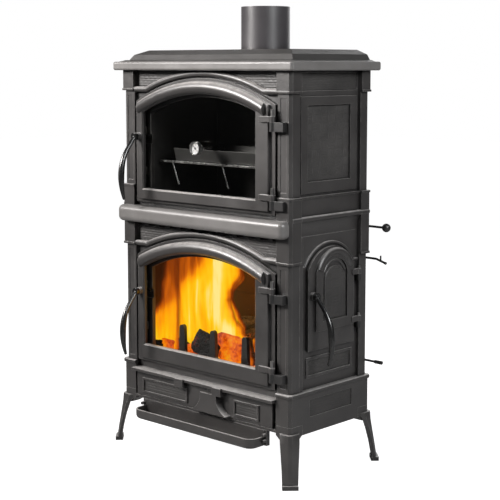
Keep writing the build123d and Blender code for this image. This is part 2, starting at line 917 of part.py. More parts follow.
def make_glass_clips(window_bottom, centre):
    """Small plates screwed to the door's back, each over the edge of the glass."""
    left, right = -window_left - glass_lap, window_right + glass_lap
    low = window_bottom - glass_lap
    radius = window_radius + glass_lap
    side_levels = [low + share * (centre + radius - low) for share in clip_shares]
    spots = [(left, z, 180) for z in side_levels] + [(right, z, 0) for z in side_levels]
    spots += [(x, low, -90) for x in (-clip_spacing, clip_spacing)]
    for x in (-clip_spacing, clip_spacing):
        turn = math.degrees(math.acos(x / radius))
        spots.append((x, centre + math.sqrt(radius**2 - x**2), turn))
    clip = Pos(clip_reach / 2 - clip_lap, 0) * Rectangle(clip_reach, clip_width)
    clips = [Pos(x, z) * Rot(0, 0, turn) * clip for x, z, turn in spots]
    return front_frame * Compound(
        [slab(c, door_back - clip_thickness, door_back) for c in clips]
    )


def make_handle(across, level, boss, face):
    """A hanging bow with its hub, its spindle through the door and the latch cam."""
    hub_back = boss + touch_gap
    points = [(across, level - d, hub_back + o) for o, d in zip(bow_out, bow_down)]
    path = Spline(*points)
    sections = []
    for i, radius in enumerate(bow_radius):
        share = i / (len(bow_radius) - 1)
        plane = Plane(origin=path @ share, x_dir=(1, 0, 0), z_dir=path % share)
        sections.append(plane * Circle(radius))
    handle = loft(sections) + Pos(*points[-1]) * Sphere(bow_radius[-1])
    hub = Pos(across, level) * Circle(boss_radius - hub_inset)
    handle += slab(hub, hub_back, hub_back + hub_height)
    cam_front = face - cam_clear
    cam_back = cam_front - cam_thickness
    spindle = Pos(across, level) * Circle(spindle_radius)
    handle += slab(spindle, cam_back, hub_back)
    cam_z = (level - cam_width / 2, level + cam_width / 2)
    cam = rectangle((across, across + cam_length), cam_z)
    return handle + slab(cam, cam_back, cam_front)


def make_thermometer():
    case_back = glass_front + dial_stand_off
    case_front = case_back + dial_depth
    spot = Pos(dial_x, dial_z)
    case = slab(spot * Circle(dial_radius), case_back, case_front)
    floor = case_front - dial_recess
    case -= slab(spot * Circle(dial_radius - dial_lip), floor, case_front)
    case += slab(spot * Circle(stem_radius), glass_front - stem_length, case_back)
    glass_back = glass_front - glass_thickness
    for low in (glass_back - stem_nut_height, glass_front):
        case += slab(spot * Circle(stem_nut_radius), low, low + stem_nut_height)
    return case + slab(spot * Circle(needle_pin_radius), floor, case_front - dial_lip / 2)


def make_needle():
    """The pointer, drawn upright and then leaned over to where it rests."""
    floor = glass_front + dial_stand_off + dial_depth - dial_recess
    outline = make_face(
        Polyline(
            (-needle_width / 2, -needle_tail),
            (needle_width / 2, -needle_tail),
            (needle_width / 4, needle_length),
            (-needle_width / 4, needle_length),
            close=True,
        )
    )
    outline += Circle(needle_hub_radius)
    outline -= Circle(needle_pin_radius + running_gap)
    low = floor + touch_gap
    needle = slab(Rot(0, 0, needle_lean) * outline, low, low + needle_thickness)
    return front_frame * (Pos(dial_x, dial_z, 0) * needle)


# Sides
def lower_side(with_door):
    """The wall beside the firebox, seen as the stove's right side."""
    edges = (-post_inside, post_inside)
    wall = slab(rectangle(edges, (base_top, shelf_bottom)), side_back, side_face)
    front_end = -post_back_edge + side_strip
    strip = rectangle((-post_back_edge, front_end), (base_top, shelf_bottom))
    wall += slab(strip, side_face, half_width)
    outline = bead_outline(side_bead_width, (side_back + side_face) / 2, side_face, bead_height)
    ends = (front_end - touch_gap, post_back_edge)
    origin = (side_centre, side_arch_centre)
    wall += arched_bead(outline, origin, side_bead_radius, side_bead_level, ends)
    outer_y = (side_centre - leaf_half, side_centre + leaf_half)
    rim = lower_frame_width
    frame = rectangle(outer_y, (lower_frame_low, lower_frame_high))
    frame -= rectangle(
        (outer_y[0] + rim, outer_y[1] - rim), (lower_frame_low + rim, lower_frame_high - rim)
    )
    wall += slab(frame, side_face, side_face + side_frame_proud)
    if with_door:
        wall -= slab(side_mouth(0), side_back, side_face)
        mouth_edge = side_centre - side_mouth_half
        wall -= cam_pocket(
            side_handle_y, side_handle_level, side_face, mouth_edge - side_handle_y
        )
    return wall


def side_mouth(grow):
    """The arched mouth behind the side door."""
    left = side_centre - side_mouth_half - grow
    right = side_centre + side_mouth_half + grow
    origin = (side_centre, side_arch_centre)
    return arched(left, right, side_mouth_bottom - grow, origin, side_mouth_radius + grow)


def upper_side():
    """The wall beside the oven, with a raised frame round a textured field."""
    edges = (-post_inside, post_inside)
    wall = slab(rectangle(edges, (block_high, plate_bottom)), side_back, side_face)
    frame = rectangle((-side_frame_half, side_frame_half), (side_frame_low, side_frame_high))
    field = rectangle((-side_field_half, side_field_half), (side_field_low, side_field_high))
    wall += slab(frame - field, side_face, side_face + side_frame_proud)
    wall -= slab(field, side_face - field_recess, side_face)
    edge = post_back_edge - frieze_margin
    frieze = rectangle(
        (-edge, edge), (frieze_bottom + frieze_margin, plate_bottom - frieze_margin)
    )
    return wall - slab(frieze, side_face - field_recess, side_face)


def side_band():
    """The band at the shelf's level: a cove, a bead, a plain face and a top ledge."""
    edges = (-post_inside, post_inside)
    band = side_frame * slab(rectangle(edges, (shelf_bottom, block_high)), side_back, side_face)
    face_x = half_width - band_fascia_recess
    bead_low = band_bead_level - band_bead_radius
    step = block_high - cap_height
    cove = ThreePointArc(
        (side_face, cove_bottom),
        (side_face + cove_belly, (cove_bottom + bead_low) / 2),
        (half_width, bead_low),
    )
    lines = [
        cove,
        Line((half_width, bead_low), (half_width, band_bead_level)),
        Line((half_width, band_bead_level), (face_x, band_bead_level)),
        Line((face_x, band_bead_level), (face_x, step)),
        Line((face_x, step), (half_width, step)),
        Line((half_width, step), (half_width, block_high)),
        Line((half_width, block_high), (side_face, block_high)),
        Line((side_face, block_high), (side_face, cove_bottom)),
    ]
    end_on = Plane(origin=(0, post_back_edge, 0), x_dir=(1, 0, 0), z_dir=(0, -1, 0))
    band += extrude(end_on * make_face(lines), 2 * post_back_edge, dir=(0, -1, 0))
    return band + side_bead(-post_back_edge, post_back_edge)


# Side door
def leaf_shape(back):
    """The arched leaf with its raised frame, the two rings of its head and its inner panel."""

    def outline(half, bottom, centre, radius):
        return arched(centre[0] - half, centre[0] + half, bottom, centre, radius)

    origin = (side_centre, side_arch_centre)
    head = (side_centre + leaf_frame_aside, side_arch_centre + leaf_frame_rise)
    front = back + leaf_plate
    leaf = slab(outline(leaf_half, leaf_bottom, origin, leaf_radius), back, front)
    frame = outline(leaf_stile_outer, leaf_sill_bottom, head, leaf_frame_radius)
    field_half = leaf_stile_outer - leaf_stile_width
    frame -= outline(field_half, leaf_sill_top, head, leaf_arch_inner)
    leaf += slab(frame, front, front + leaf_stile_proud)
    panel = outline(
        leaf_panel_half,
        leaf_sill_top + leaf_panel_gap / 2,
        (head[0], head[1] - leaf_panel_drop),
        leaf_panel_half + leaf_panel_shoulder,
    )
    leaf += slab(panel, front, front + leaf_panel_proud)
    ring = half_round(
        leaf_ring_radius, leaf_ring_half_width, front + leaf_stile_proud, leaf_ring_rise
    )
    inner = half_round(
        leaf_inner_ring_radius, leaf_inner_ring_half_width, front, leaf_inner_ring_rise
    )
    for profile in (ring, inner):
        leaf += swept_arch(profile, head, leaf_ring_start)
    return leaf


def leaf_ring(grow_in, grow_out):
    """A band that follows the leaf's edge, between two distances in from it."""
    origin = (side_centre, side_arch_centre)
    outlines = []
    for inset in (grow_in, grow_out):
        half = leaf_half - inset
        left, right = side_centre - half, side_centre + half
        bottom = leaf_bottom + inset
        outlines.append(arched(left, right, bottom, origin, leaf_radius - inset))
    return outlines[0] - outlines[1]


def make_side_door():
    leaf = leaf_shape(leaf_back)
    groove = leaf_ring(gasket_edge, gasket_edge + gasket_width)
    leaf -= slab(groove, leaf_back, leaf_back + gasket_groove)
    spot = Pos(side_handle_y, side_handle_level)
    leaf += slab(spot * Circle(boss_radius), leaf_front, side_boss_front)
    for level in side_hinge_levels:
        strap_y = (side_hinge_y - side_strap_length, side_hinge_y)
        strap_z = (level - side_strap_half_height, level + side_strap_half_height)
        strap_high = side_hinge_x + side_eye_radius / 2
        leaf += slab(rectangle(strap_y, strap_z), leaf_front, strap_high)
        leaf += rod_along_y(side_hinge_y, side_hinge_x, *strap_z, side_eye_radius)
        leaf -= rod_along_y(side_hinge_y, side_hinge_x, *strap_z, side_pin_radius + running_gap)
    bore = spot * Circle(spindle_radius + running_gap)
    return side_frame * (leaf - slab(bore, leaf_back, side_boss_front))


def make_side_gasket():
    ring = leaf_ring(gasket_edge + fit_gap, gasket_edge + gasket_width - fit_gap)
    return side_frame * slab(ring, side_face + touch_gap, leaf_back + gasket_groove)


# Hinge brackets and pins
def make_hinge_parts():
    """The brackets that stand on the posts and the side, and the pins they hold."""
    brackets, pins = [], []
    for level in oven_hinge_levels + fire_hinge_levels:
        top = level - strap_half_height - touch_gap
        low = top - bracket_height
        on_block = low < block_high and top > block_low
        seat = half_depth + (block_proud if on_block else 0)
        plate_x = (hinge_x + hinge_eye_radius, hinge_x + hinge_eye_radius + bracket_width)
        bracket = slab(rectangle(plate_x, (low, top)), seat, hinge_reach + bracket_front)
        arm = rectangle((hinge_x, plate_x[1]), (low, top))
        bracket += slab(arm, hinge_reach - strap_thickness / 2, hinge_reach + bracket_front)
        bracket += rod_along_y(hinge_x, hinge_reach, low, top, hinge_eye_radius)
        pin_low = level - pin_below
        bracket -= rod_along_y(hinge_x, hinge_reach, pin_low, top, hinge_pin_radius)
        brackets.append(front_frame * bracket)
        pin_high = level + pin_above
        pins.append(
            front_frame * rod_along_y(hinge_x, hinge_reach, pin_low, pin_high, hinge_pin_radius)
        )
    for level in side_hinge_levels:
        top = level - side_strap_half_height - touch_gap
        low = top - side_bracket_height
        foot_y = (side_hinge_y - side_eye_radius, side_hinge_y + side_eye_radius)
        bracket = slab(rectangle(foot_y, (low, top)), side_face, side_hinge_x)
        bracket += rod_along_y(side_hinge_y, side_hinge_x, low, top, side_eye_radius)
        pin_low = top - side_bracket_height / 2
        bracket -= rod_along_y(side_hinge_y, side_hinge_x, pin_low, top, side_pin_radius)
        brackets.append(side_frame * bracket)
        pin_high = level + side_strap_half_height + side_pin_above
        pins.append(
            side_frame * rod_along_y(side_hinge_y, side_hinge_x, pin_low, pin_high, side_pin_radius)
        )
    return Compound(brackets), Compound(pins)


# Back
def make_back():
    panel = block((-inner_half, inner_half), (back_inner, back_face), (base_top, plate_bottom))
    hole = cover_bolt_circle - 2 * bolt_head_radius
    panel -= rod_along_y(0, cover_level, back_inner, back_face, hole)
    for x, z in back_bolts + cover_bolts:
        panel -= rod_along_y(x, z, back_inner, back_face, bolt_radius)
    half = air_hole_width / 2
    for level in rod_levels:
        z = (level - air_hole_height / 2, level + air_hole_height / 2)
        panel -= block((shutter_centre - half, shutter_centre + half), (back_inner, back_face), z)
    return panel


def make_flue_cover():
    high = back_face + cover_thickness
    cover = rod_along_y(0, cover_level, back_face, high, cover_radius)
    ridge = cover_bolt_circle - 2 * bolt_head_radius
    cover += rod_along_y(0, cover_level, high, high + cover_thickness / 2, ridge)
    for x, z in cover_bolts:
        cover -= rod_along_y(x, z, back_face, high, bolt_radius)
    return cover


def make_bolts():
    bolts = []
    for x, z in back_bolts:
        bolts.append(make_bolt(x, z, half_depth))
    for x, z in cover_bolts:
        bolts.append(make_bolt(x, z, back_face + cover_thickness))
    return Compound(bolts)


def make_bolt(x, z, seat):
    """A round-headed bolt through the back, its head on the given seat."""
    head = rod_along_y(x, z, seat, seat + bolt_head_height, bolt_head_radius)
    head = fillet(head.faces().sort_by(Axis.Y)[-1].edges(), bolt_head_round)
    return head + rod_along_y(x, z, back_inner, seat, bolt_radius)


def rear_post(post):
    for x, z in back_bolts:
        if (x > 0) == (post.center().X > 0):
            post -= rod_along_y(x, z, post_inside, half_depth, bolt_radius)
    return post


# Base, legs and ash compartment
def make_base_frame():
    levels = (leg_gap, base_top)
    ring = slab(cut_rectangle(base_half, base_reach, post_chamfer), *levels)
    bead_low = base_top - 2 * base_bead
    bead = cut_rectangle(base_half + base_bead_proud, base_reach + base_bead_proud, post_chamfer)
    bead = slab(bead, bead_low, base_top)
    flat_edges = bead.edges().filter_by(Axis.Z, reverse=True)
    ring += fillet(flat_edges, base_bead_proud)
    in_x, in_y = base_half - base_wall, base_reach - base_wall
    ring -= block((-in_x, in_x), (-in_y, in_y), (leg_gap, base_top - base_wall))
    in_x -= base_flange
    in_y -= base_flange
    ring -= block((-in_x, in_x), (-in_y, in_y), (leg_gap, base_top))
    front_y = (-2 * base_reach, -in_y)
    ring -= block((-post_inner, post_inner), front_y, levels)
    size = leg_head_size
    for sx in (-1, 1):
        for sy in (-1, 1):
            x = sorted((sx * (base_half - size), sx * base_half))
            y = sorted((sy * (base_reach - size), sy * base_reach))
            ring -= block(x, y, (leg_gap, leg_head_top))
    field = rectangle((-skirt_field_half, skirt_field_half), (skirt_field_low, skirt_field_high))
    for side in both_sides(side_frame * slab(field, base_half - field_recess, base_half)):
        ring -= side
    return ring


def make_base_plate():
    """The plate that closes the base, with rails that guide the ash pan."""
    half_x = base_half - base_wall - touch_gap
    half_y = base_reach - base_wall - touch_gap
    levels = (floor_plate_bottom, floor_plate_bottom + floor_plate)
    plate = block((-half_x, half_x), (-half_y, half_y), levels)
    front_x = post_inner - touch_gap
    plate += block((-front_x, front_x), (-base_reach, -half_y), levels)
    size = leg_head_size + touch_gap
    for sx in (-1, 1):
        for sy in (-1, 1):
            x = sorted((sx * (base_half - size), sx * base_half))
            y = sorted((sy * (base_reach - size), sy * base_reach))
            plate -= block(x, y, levels)
    rail_x = (pan_half + touch_gap, pan_half + touch_gap + rail_width)
    rail_y = (-front_back, pan_length - ash_front_back)
    rail = block(rail_x, rail_y, (levels[1], levels[1] + rail_height))
    for side in both_sides(rail):
        plate += side
    return plate


def make_leg():
    """The front right leg: a bent plate under the corner, splayed outwards to its foot."""
    corner = (base_half, -base_reach)

    def on_corner(level):
        return Plane(origin=(*corner, level), x_dir=(1, -1, 0), z_dir=(0, 0, 1))

    sections = []
    for i, level in enumerate(leg_levels):
        out, thick = leg_out[i], leg_thickness[i]
        half, fall = leg_half_widths[i], leg_facet_fall[i]
        ridge = leg_ridge_half
        outline = Polyline(
            (out, -ridge),
            (out, ridge),
            (out - fall, half),
            (out - fall - thick, half),
            (out - thick, ridge),
            (out - thick, -ridge),
            (out - fall - thick, -half),
            (out - fall, -half),
            close=True,
        )
        sections.append(on_corner(level) * make_face(outline))
    leg = loft(sections, ruled=True)
    foot = rectangle((foot_out - foot_depth, foot_out), (-leg_half_widths[-1], leg_half_widths[-1]))
    leg += on_corner(0) * slab(foot, 0, foot_height)
    cut = post_chamfer

    def head_outline(size):
        x, y = base_half - size, -base_reach + size
        points = [(x, y), (x, corner[1]), (corner[0] - cut, corner[1])]
        points += [(corner[0], corner[1] + cut), (corner[0], y)]
        return make_face(Polyline(*points, close=True))

    leg += slab(head_outline(leg_head_size), leg_head_middle, leg_head_top)
    foot_of_head = Pos(0, 0, leg_head_bottom) * head_outline(leg_head_foot)
    return leg + loft([foot_of_head, Pos(0, 0, leg_head_middle) * head_outline(leg_head_size)])


def bell_outline(foot_half, neck_half, low, high):
    """The outline of the bell on the ash door, flaring towards its foot."""
    c = bell_centre
    shoulder = bell_shoulder
    belly = (foot_half + neck_half) / 2 - bell_flare
    middle = (low + shoulder) / 2
    right = ThreePointArc((c + neck_half, shoulder), (c + belly, middle), (c + foot_half, low))
    left = ThreePointArc((c - foot_half, low), (c - belly, middle), (c - neck_half, shoulder))
    lines = [
        Line((c - neck_half, shoulder), (c - neck_half, high)),
        Line((c - neck_half, high), (c + neck_half, high)),
        Line((c + neck_half, high), (c + neck_half, shoulder)),
        right,
        Line((c + foot_half, low), (c - foot_half, low)),
        left,
    ]
    return make_face(lines)


def make_ash_front():
    front = half_depth + ash_front_forward
    levels = (ash_front_bottom, ash_front_top)
    door = slab(rectangle((-ash_front_half, ash_front_half), levels), ash_front_back, front)
    for across in (ash_panel_left, ash_panel_right):
        rim = ash_panel_rim
        outer = rectangle(across, (ash_panel_low, ash_panel_high))
        inner = rectangle(
            (across[0] + rim, across[1] - rim), (ash_panel_low + rim, ash_panel_high - rim)
        )
        door += slab(outer - inner, front, front + ash_panel_proud)
    bell = bell_outline(bell_foot_half, bell_neck_half, bell_low, bell_high)
    door += slab(bell, front, front + bell_proud)
    hollow = bell_outline(
        bell_foot_half - bell_wall, bell_neck_half - bell_wall, bell_low, bell_high - bell_wall
    )
    door -= slab(hollow, front, front + bell_proud - bell_wall)
    ledge_front = half_depth + ledge_reach + touch_gap
    for offset in ledge_lug_offsets:
        across = (offset - ledge_lug_width / 2, offset + ledge_lug_width / 2)
        lug_low = ledge_top - ledge_lug_drop - ledge_lug_reach
        neck = rectangle(across, (lug_low, ash_front_top - ledge_lug_clear))
        door += slab(neck, front, ledge_front + ledge_lug_reach)
        head = rectangle(across, (lug_low, ledge_top + touch_gap))
        door += slab(head, ledge_front, ledge_front + ledge_lug_reach)
    return front_frame * door


def make_pan(half, length, height, wall, start, bottom):
    """An open tray of folded sheet that runs back from its front end."""
    pan = block((-half, half), (start, start + length), (bottom, bottom + height))
    inner_x = (-half + wall, half - wall)
    inner_y = (start + wall, start + length - wall)
    return pan - block(inner_x, inner_y, (bottom + wall, bottom + height))


def make_ash_lip():
    """The tray that catches spilt ash, hung from the base plate by its back and two arms."""
    y = (-half_depth - lip_front, -half_depth - lip_back)
    tray = block((-lip_half, lip_half), y, (lip_low, lip_high))
    tray = fillet(tray.edges().filter_by(Axis.Z).sort_by(Axis.Y)[:2], lip_corner)
    bottom_edges = tray.faces().sort_by(Axis.Z)[0].edges()
    front_edges = bottom_edges.filter_by(lambda edge: edge.center().Y < sum(y) / 2)
    tray = fillet(front_edges, lip_round)
    hollow_x = (-lip_half + lip_wall, lip_half - lip_wall)
    hollow = block(hollow_x, (y[0] + lip_wall, y[1] - lip_wall), (lip_low + lip_wall, lip_high))
    hollow = fillet(hollow.edges().filter_by(Axis.Z).sort_by(Axis.Y)[:2], lip_corner - lip_wall)
    tray -= hollow
    back_x = (-lip_half, lip_half)
    tray += block(back_x, (y[1] - lip_wall, y[1]), (lip_low + lip_wall, floor_plate_bottom))
    arm = block(
        (lip_half - touch_gap, lip_half + arm_width),
        (-base_reach, y[1] + arm_width),
        (lip_low + lip_wall, floor_plate_bottom),
    )
    for level in peg_levels:
        peg_x = lip_half + arm_width / 2
        arm += rod_along_y(peg_x, level, -base_reach - peg_reach, -base_reach, peg_radius)
    for side in both_sides(arm):
        tray += side
    return tray


# Firebox
def make_firebox_floor():
    y = (-front_back + touch_gap, back_inner - touch_gap)
    plate = block((-inner_half, inner_half), y, (hearth_bottom, hearth_top))
    hole_x = grate_length / 2 - grate_lap
    hole_y = grate_depth / 2 - grate_lap
    return plate - block(
        (-hole_x, hole_x),
        (grate_offset - hole_y, grate_offset + hole_y),
        (hearth_bottom, hearth_top),
    )


def make_grate():
    levels = (hearth_top, hearth_top + grate_thickness)
    half_x, half_y = grate_length / 2, grate_depth / 2
    grate = block((-half_x, half_x), (grate_offset - half_y, grate_offset + half_y), levels)
    pitch = (grate_length - 2 * grate_lap) / grate_slots
    slot_half = half_y - 2 * grate_lap
    for i in range(grate_slots):
        x = (i - (grate_slots - 1) / 2) * pitch
        across = (x - grate_slot_width / 2, x + grate_slot_width / 2)
        grate -= block(across, (grate_offset - slot_half, grate_offset + slot_half), levels)
    return grate


def make_bricks():
    levels = (hearth_top, brick_top)
    inner_x = inner_half - brick_thickness
    y = (-front_back + brick_clear, back_inner - touch_gap)
    right = block((inner_x, inner_half), y, levels)
    left = mirror(right, about=Plane.YZ)
    right -= side_frame * slab(side_mouth(brick_clear), inner_x, inner_half)
    rear_x = inner_x - touch_gap
    rear = block((-rear_x, rear_x), (y[1] - brick_thickness, y[1]), levels)
    return left, right, rear


def make_log_guard():
    levels = (hearth_top, hearth_top + guard_bar_height)
    across = (guard_centre - guard_half, guard_centre + guard_half)
    low = front_back - guard_gap - guard_depth
    guard = slab(rectangle(across, levels), low, low + guard_depth)
    for i in (-1, 0, 1):
        x = guard_centre + i * guard_pitch
        foot, head = guard_post_foot, guard_post_head
        shoulder = guard_top - head
        lines = [
            Line((x - foot, hearth_top), (x + foot, hearth_top)),
            Line((x + foot, hearth_top), (x + head, shoulder)),
            ThreePointArc((x + head, shoulder), (x, guard_top), (x - head, shoulder)),
            Line((x - head, shoulder), (x - foot, hearth_top)),
        ]
        guard += slab(make_face(lines), low, low + guard_depth)
    return front_frame * guard


def make_baffle():
    y = (-front_back + touch_gap, back_inner - baffle_back_gap)
    return block((-inner_half, inner_half), y, (brick_top, brick_top + baffle_thickness))


# Oven
def make_oven_floor():
    y = (-front_back + touch_gap, back_inner - touch_gap)
    plate = block((-inner_half, inner_half), y, (shelf_top, oven_bottom))
    middle = (oven_half + inner_half) / 2
    half = smoke_slot_width / 2
    slot_y = (-smoke_slot_length / 2, smoke_slot_length / 2)
    for slot in both_sides(block((middle - half, middle + half), slot_y, (shelf_top, oven_bottom))):
        plate -= slot
    return plate


def make_oven_box():
    """The oven's lining, open at the front, with a runner on each side for the rack."""
    y = (-front_back, oven_back)
    top = oven_bottom + oven_height
    inner = oven_half - oven_wall
    box = block((-oven_half, oven_half), y, (oven_bottom, top))
    box -= block((-inner, inner), (y[0], y[1] - oven_wall), (oven_bottom + oven_wall, top - oven_wall))
    runner_z = (runner_level - runner_thickness, runner_level)
    runner = block((inner - runner_reach, inner), (-rack_front, rack_back), runner_z)
    for side in both_sides(runner):
        box += side
    return box


def make_rack():
    """A wire shelf in a flat frame that rests on the runners, with two leaning front feet."""
    half_x = oven_half - oven_wall - rack_bar / 2
    level = runner_level + touch_gap
    frame_z = (level, level + rack_bar)
    rack = block((-half_x, half_x), (-rack_front, rack_back), frame_z)
    in_x = half_x - rack_bar
    in_y = (-rack_front + rack_bar, rack_back - rack_bar)
    rack -= block((-in_x, in_x), in_y, frame_z)
    pitch = 2 * in_x / (rack_wires + 1)
    wire_z = level + rack_bar / 2
    wire_y = (in_y[0] - rack_bar / 2, in_y[1] + rack_bar / 2)
    for i in range(rack_wires):
        rack += rod_along_y(-in_x + (i + 1) * pitch, wire_z, *wire_y, wire_radius)
    for offset in rack_leg_offsets:
        top = Vector(offset, -rack_front + rack_bar / 2, wire_z)
        foot = top + Vector(rack_leg_lean, 0, -rack_leg_drop)
        wire = Plane(origin=top, z_dir=foot - top) * Circle(wire_radius)
        rack += extrude(wire, (foot - top).length, dir=foot - top)
    return rack


def make_tray():
    bottom = runner_level + touch_gap + rack_bar

    def outline(grow):
        return rectangle(
            (-tray_half - grow, tray_half + grow), (-tray_front - grow, tray_back + grow)
        )

    def shell(inset, low, high):
        foot = Pos(0, 0, low) * outline(-tray_flare - inset)
        return loft([foot, Pos(0, 0, high) * outline(-inset)])

    tray = shell(0, bottom, bottom + tray_height)
    return tray - shell(tray_wall, bottom + tray_wall, bottom + tray_height)


# Control rods at the back
def make_rod(level):
    """A straight rod with the shutter that it slides over its hole in the back."""
    rod = rod_along_x(rod_y, level, rod_start, rod_end, rod_radius)
    low = back_face + touch_gap
    half_x, half_z = shutter_width / 2, shutter_height / 2
    x = (shutter_centre - half_x, shutter_centre + half_x)
    rod += block(x, (low, low + shutter_thickness), (level - half_z, level + half_z))
    lug_x = (shutter_centre - rod_radius, shutter_centre + rod_radius)
    return rod + block(lug_x, (low, rod_y), (level - rod_radius / 2, level + rod_radius / 2))


def make_damper_rod():
    level = rod_levels[0]
    ball = Pos(rod_end - ball_flat + ball_radius, rod_y, level) * Sphere(ball_radius)
    room_y = (rod_y - ball_radius, rod_y + ball_radius)
    ball &= block((rod_end, ball_reach), room_y, (level - ball_radius, level + ball_radius))
    return make_rod(level) + ball


def make_crooked_rod():
    level = rod_levels[1]
    rod = make_rod(level)
    keep_x = (0, crook_start)
    rod &= block(keep_x, (0, 2 * rod_y), (level - shutter_height, level + shutter_height))
    start = Vector(crook_start, rod_y, level)
    end = Vector(crook_end, rod_y, level - crook_drop)
    bent = Plane(origin=start, z_dir=end - start) * Circle(rod_radius)
    rod += Pos(*start) * Sphere(rod_radius)
    rod += extrude(bent, (end - start).length, dir=end - start)
    rod += Pos(*end) * Sphere(crook_end_radius)
    share = (lever_at - crook_start) / (crook_end - crook_start)
    lever_z = level - crook_drop * share
    return rod + rod_along_z(lever_at, rod_y, lever_z, lever_z + lever_length, lever_radius)


def make_primary_rod():
    level = rod_levels[2]
    return make_rod(level) + rod_along_x(rod_y, level, pull_start, pull_end, pull_radius)


def make_guides():
    """Blocks that carry each rod, one on the back panel and one on the post."""
    guides = []
    for level in rod_levels:
        on_block = block_low < level < block_high
        post_seat = base_reach if on_block else half_depth
        for x, seat in ((guide_at_panel, back_face), (guide_at_post, post_seat)):
            half = guide_half_height
            guide = block(
                (x - guide_thickness / 2, x + guide_thickness / 2),
                (seat, rod_y + half),
                (level - half, level + half),
            )
            bore = rod_along_x(rod_y, level, x - half, x + half, rod_radius + rod_gap)
            guides.append(guide - bore)
    return Compound(guides)


# The whole stove, piece by piece
parts = {}
parts["top_plate"] = make_top_plate()
parts["flue_pipe"] = make_flue_pipe()
parts["flue_spigot"] = make_flue_spigot()
for place, post in corner_copies(make_post()).items():
    parts["post_" + place] = rear_post(post) if place.startswith("rear") else post
parts["upper_front_frame"] = make_upper_front()
parts["lower_front_frame"] = make_lower_front()
parts["mid_shelf"] = make_mid_shelf()
parts["side_bands"] = Compound(both_sides(side_band()))
parts["oven_side_right"], parts["oven_side_left"] = both_sides(side_frame * upper_side())
parts["firebox_side_right"] = side_frame * lower_side(True)
parts["firebox_side_left"] = mirror(side_frame * lower_side(False), about=Plane.YZ)
parts["blank_side_panel"] = mirror(side_frame * leaf_shape(side_face), about=Plane.YZ)
parts["back_panel"] = make_back()
parts["rear_flue_cover"] = make_flue_cover()
parts["panel_bolts"] = make_bolts()
parts["base_frame"] = make_base_frame()
parts["base_plate"] = make_base_plate()
for place, leg in corner_copies(make_leg()).items():
    parts["leg_" + place] = leg
parts["oven_box"] = make_oven_box()
parts["oven_floor_plate"] = make_oven_floor()
parts["firebrick_left"], parts["firebrick_right"], parts["firebrick_rear"] = make_bricks()
parts["firebox_floor"] = make_firebox_floor()
parts["grate"] = make_grate()
parts["log_guard"] = make_log_guard()
parts["baffle_plate"] = make_baffle()
parts["ash_lip"] = make_ash_lip()
parts["hinge_brackets"], parts["hinge_pins"] = make_hinge_parts()
parts["rod_guides"] = make_guides()

parts["oven_door_frame"] = make_front_door(
    oven_door_bottom, oven_window_bottom, oven_arch_centre, oven_hinge_levels, oven_handle_level
)
stem_hole = Pos(dial_x, dial_z) * Circle(stem_radius + fit_gap)
oven_glass = make_door_glass(oven_window_bottom, oven_arch_centre)
oven_glass -= slab(stem_hole, glass_front - glass_thickness, glass_front)
parts["oven_door_glass"] = front_frame * oven_glass
parts["oven_door_gasket"] = make_door_gasket(oven_door_bottom, oven_arch_centre)
parts["oven_glass_clips"] = make_glass_clips(oven_window_bottom, oven_arch_centre)
parts["thermometer_case"] = front_frame * make_thermometer()
parts["thermometer_needle"] = make_needle()
parts["oven_handle"] = front_frame * make_handle(
    handle_x, oven_handle_level, boss_front, front_face
)

parts["fire_door_frame"] = make_front_door(
    fire_door_bottom, fire_window_bottom, fire_arch_centre, fire_hinge_levels, fire_handle_level
)
parts["fire_door_glass"] = front_frame * make_door_glass(fire_window_bottom, fire_arch_centre)
parts["fire_door_gasket"] = make_door_gasket(fire_door_bottom, fire_arch_centre)
parts["fire_glass_clips"] = make_glass_clips(fire_window_bottom, fire_arch_centre)
parts["fire_handle"] = front_frame * make_handle(
    handle_x, fire_handle_level, boss_front, front_face
)

parts["side_door_leaf"] = make_side_door()
parts["side_door_gasket"] = make_side_gasket()
parts["side_handle"] = side_frame * make_handle(
    side_handle_y, side_handle_level, side_boss_front, side_face
)

parts["ash_drawer_front"] = make_ash_front()
parts["ash_pan"] = make_pan(
    pan_half, pan_length, pan_height, pan_wall, -ash_front_back, pan_bottom
)
parts["oven_rack"] = make_rack()
parts["oven_tray"] = make_tray()
parts["damper_rod"] = make_damper_rod()
parts["upper_air_rod"] = make_crooked_rod()
parts["primary_air_rod"] = make_primary_rod()

os.makedirs("parts", exist_ok=True)
for name, part in parts.items():
    export_step(Pos(-origin_x, -origin_y, 0) * part, f"parts/{name}.step")
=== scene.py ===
import json
import math
import random

import bpy
import numpy as np
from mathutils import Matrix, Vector, noise


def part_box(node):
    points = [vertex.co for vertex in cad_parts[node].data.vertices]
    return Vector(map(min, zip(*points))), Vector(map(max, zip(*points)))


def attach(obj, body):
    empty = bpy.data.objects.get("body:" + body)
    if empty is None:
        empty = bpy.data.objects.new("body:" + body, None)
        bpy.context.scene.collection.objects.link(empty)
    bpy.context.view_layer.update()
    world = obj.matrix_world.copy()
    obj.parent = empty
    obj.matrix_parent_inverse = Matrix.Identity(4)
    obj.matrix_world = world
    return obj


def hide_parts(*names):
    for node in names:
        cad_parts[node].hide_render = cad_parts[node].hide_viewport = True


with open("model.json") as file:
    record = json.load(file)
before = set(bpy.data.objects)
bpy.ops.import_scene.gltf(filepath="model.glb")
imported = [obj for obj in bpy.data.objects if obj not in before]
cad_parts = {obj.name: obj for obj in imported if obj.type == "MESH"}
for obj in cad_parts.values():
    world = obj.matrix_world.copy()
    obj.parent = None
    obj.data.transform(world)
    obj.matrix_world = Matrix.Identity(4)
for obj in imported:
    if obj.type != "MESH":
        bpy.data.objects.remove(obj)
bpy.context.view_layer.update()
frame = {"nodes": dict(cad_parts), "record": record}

scene = bpy.context.scene
scene.view_settings.view_transform = "Standard"

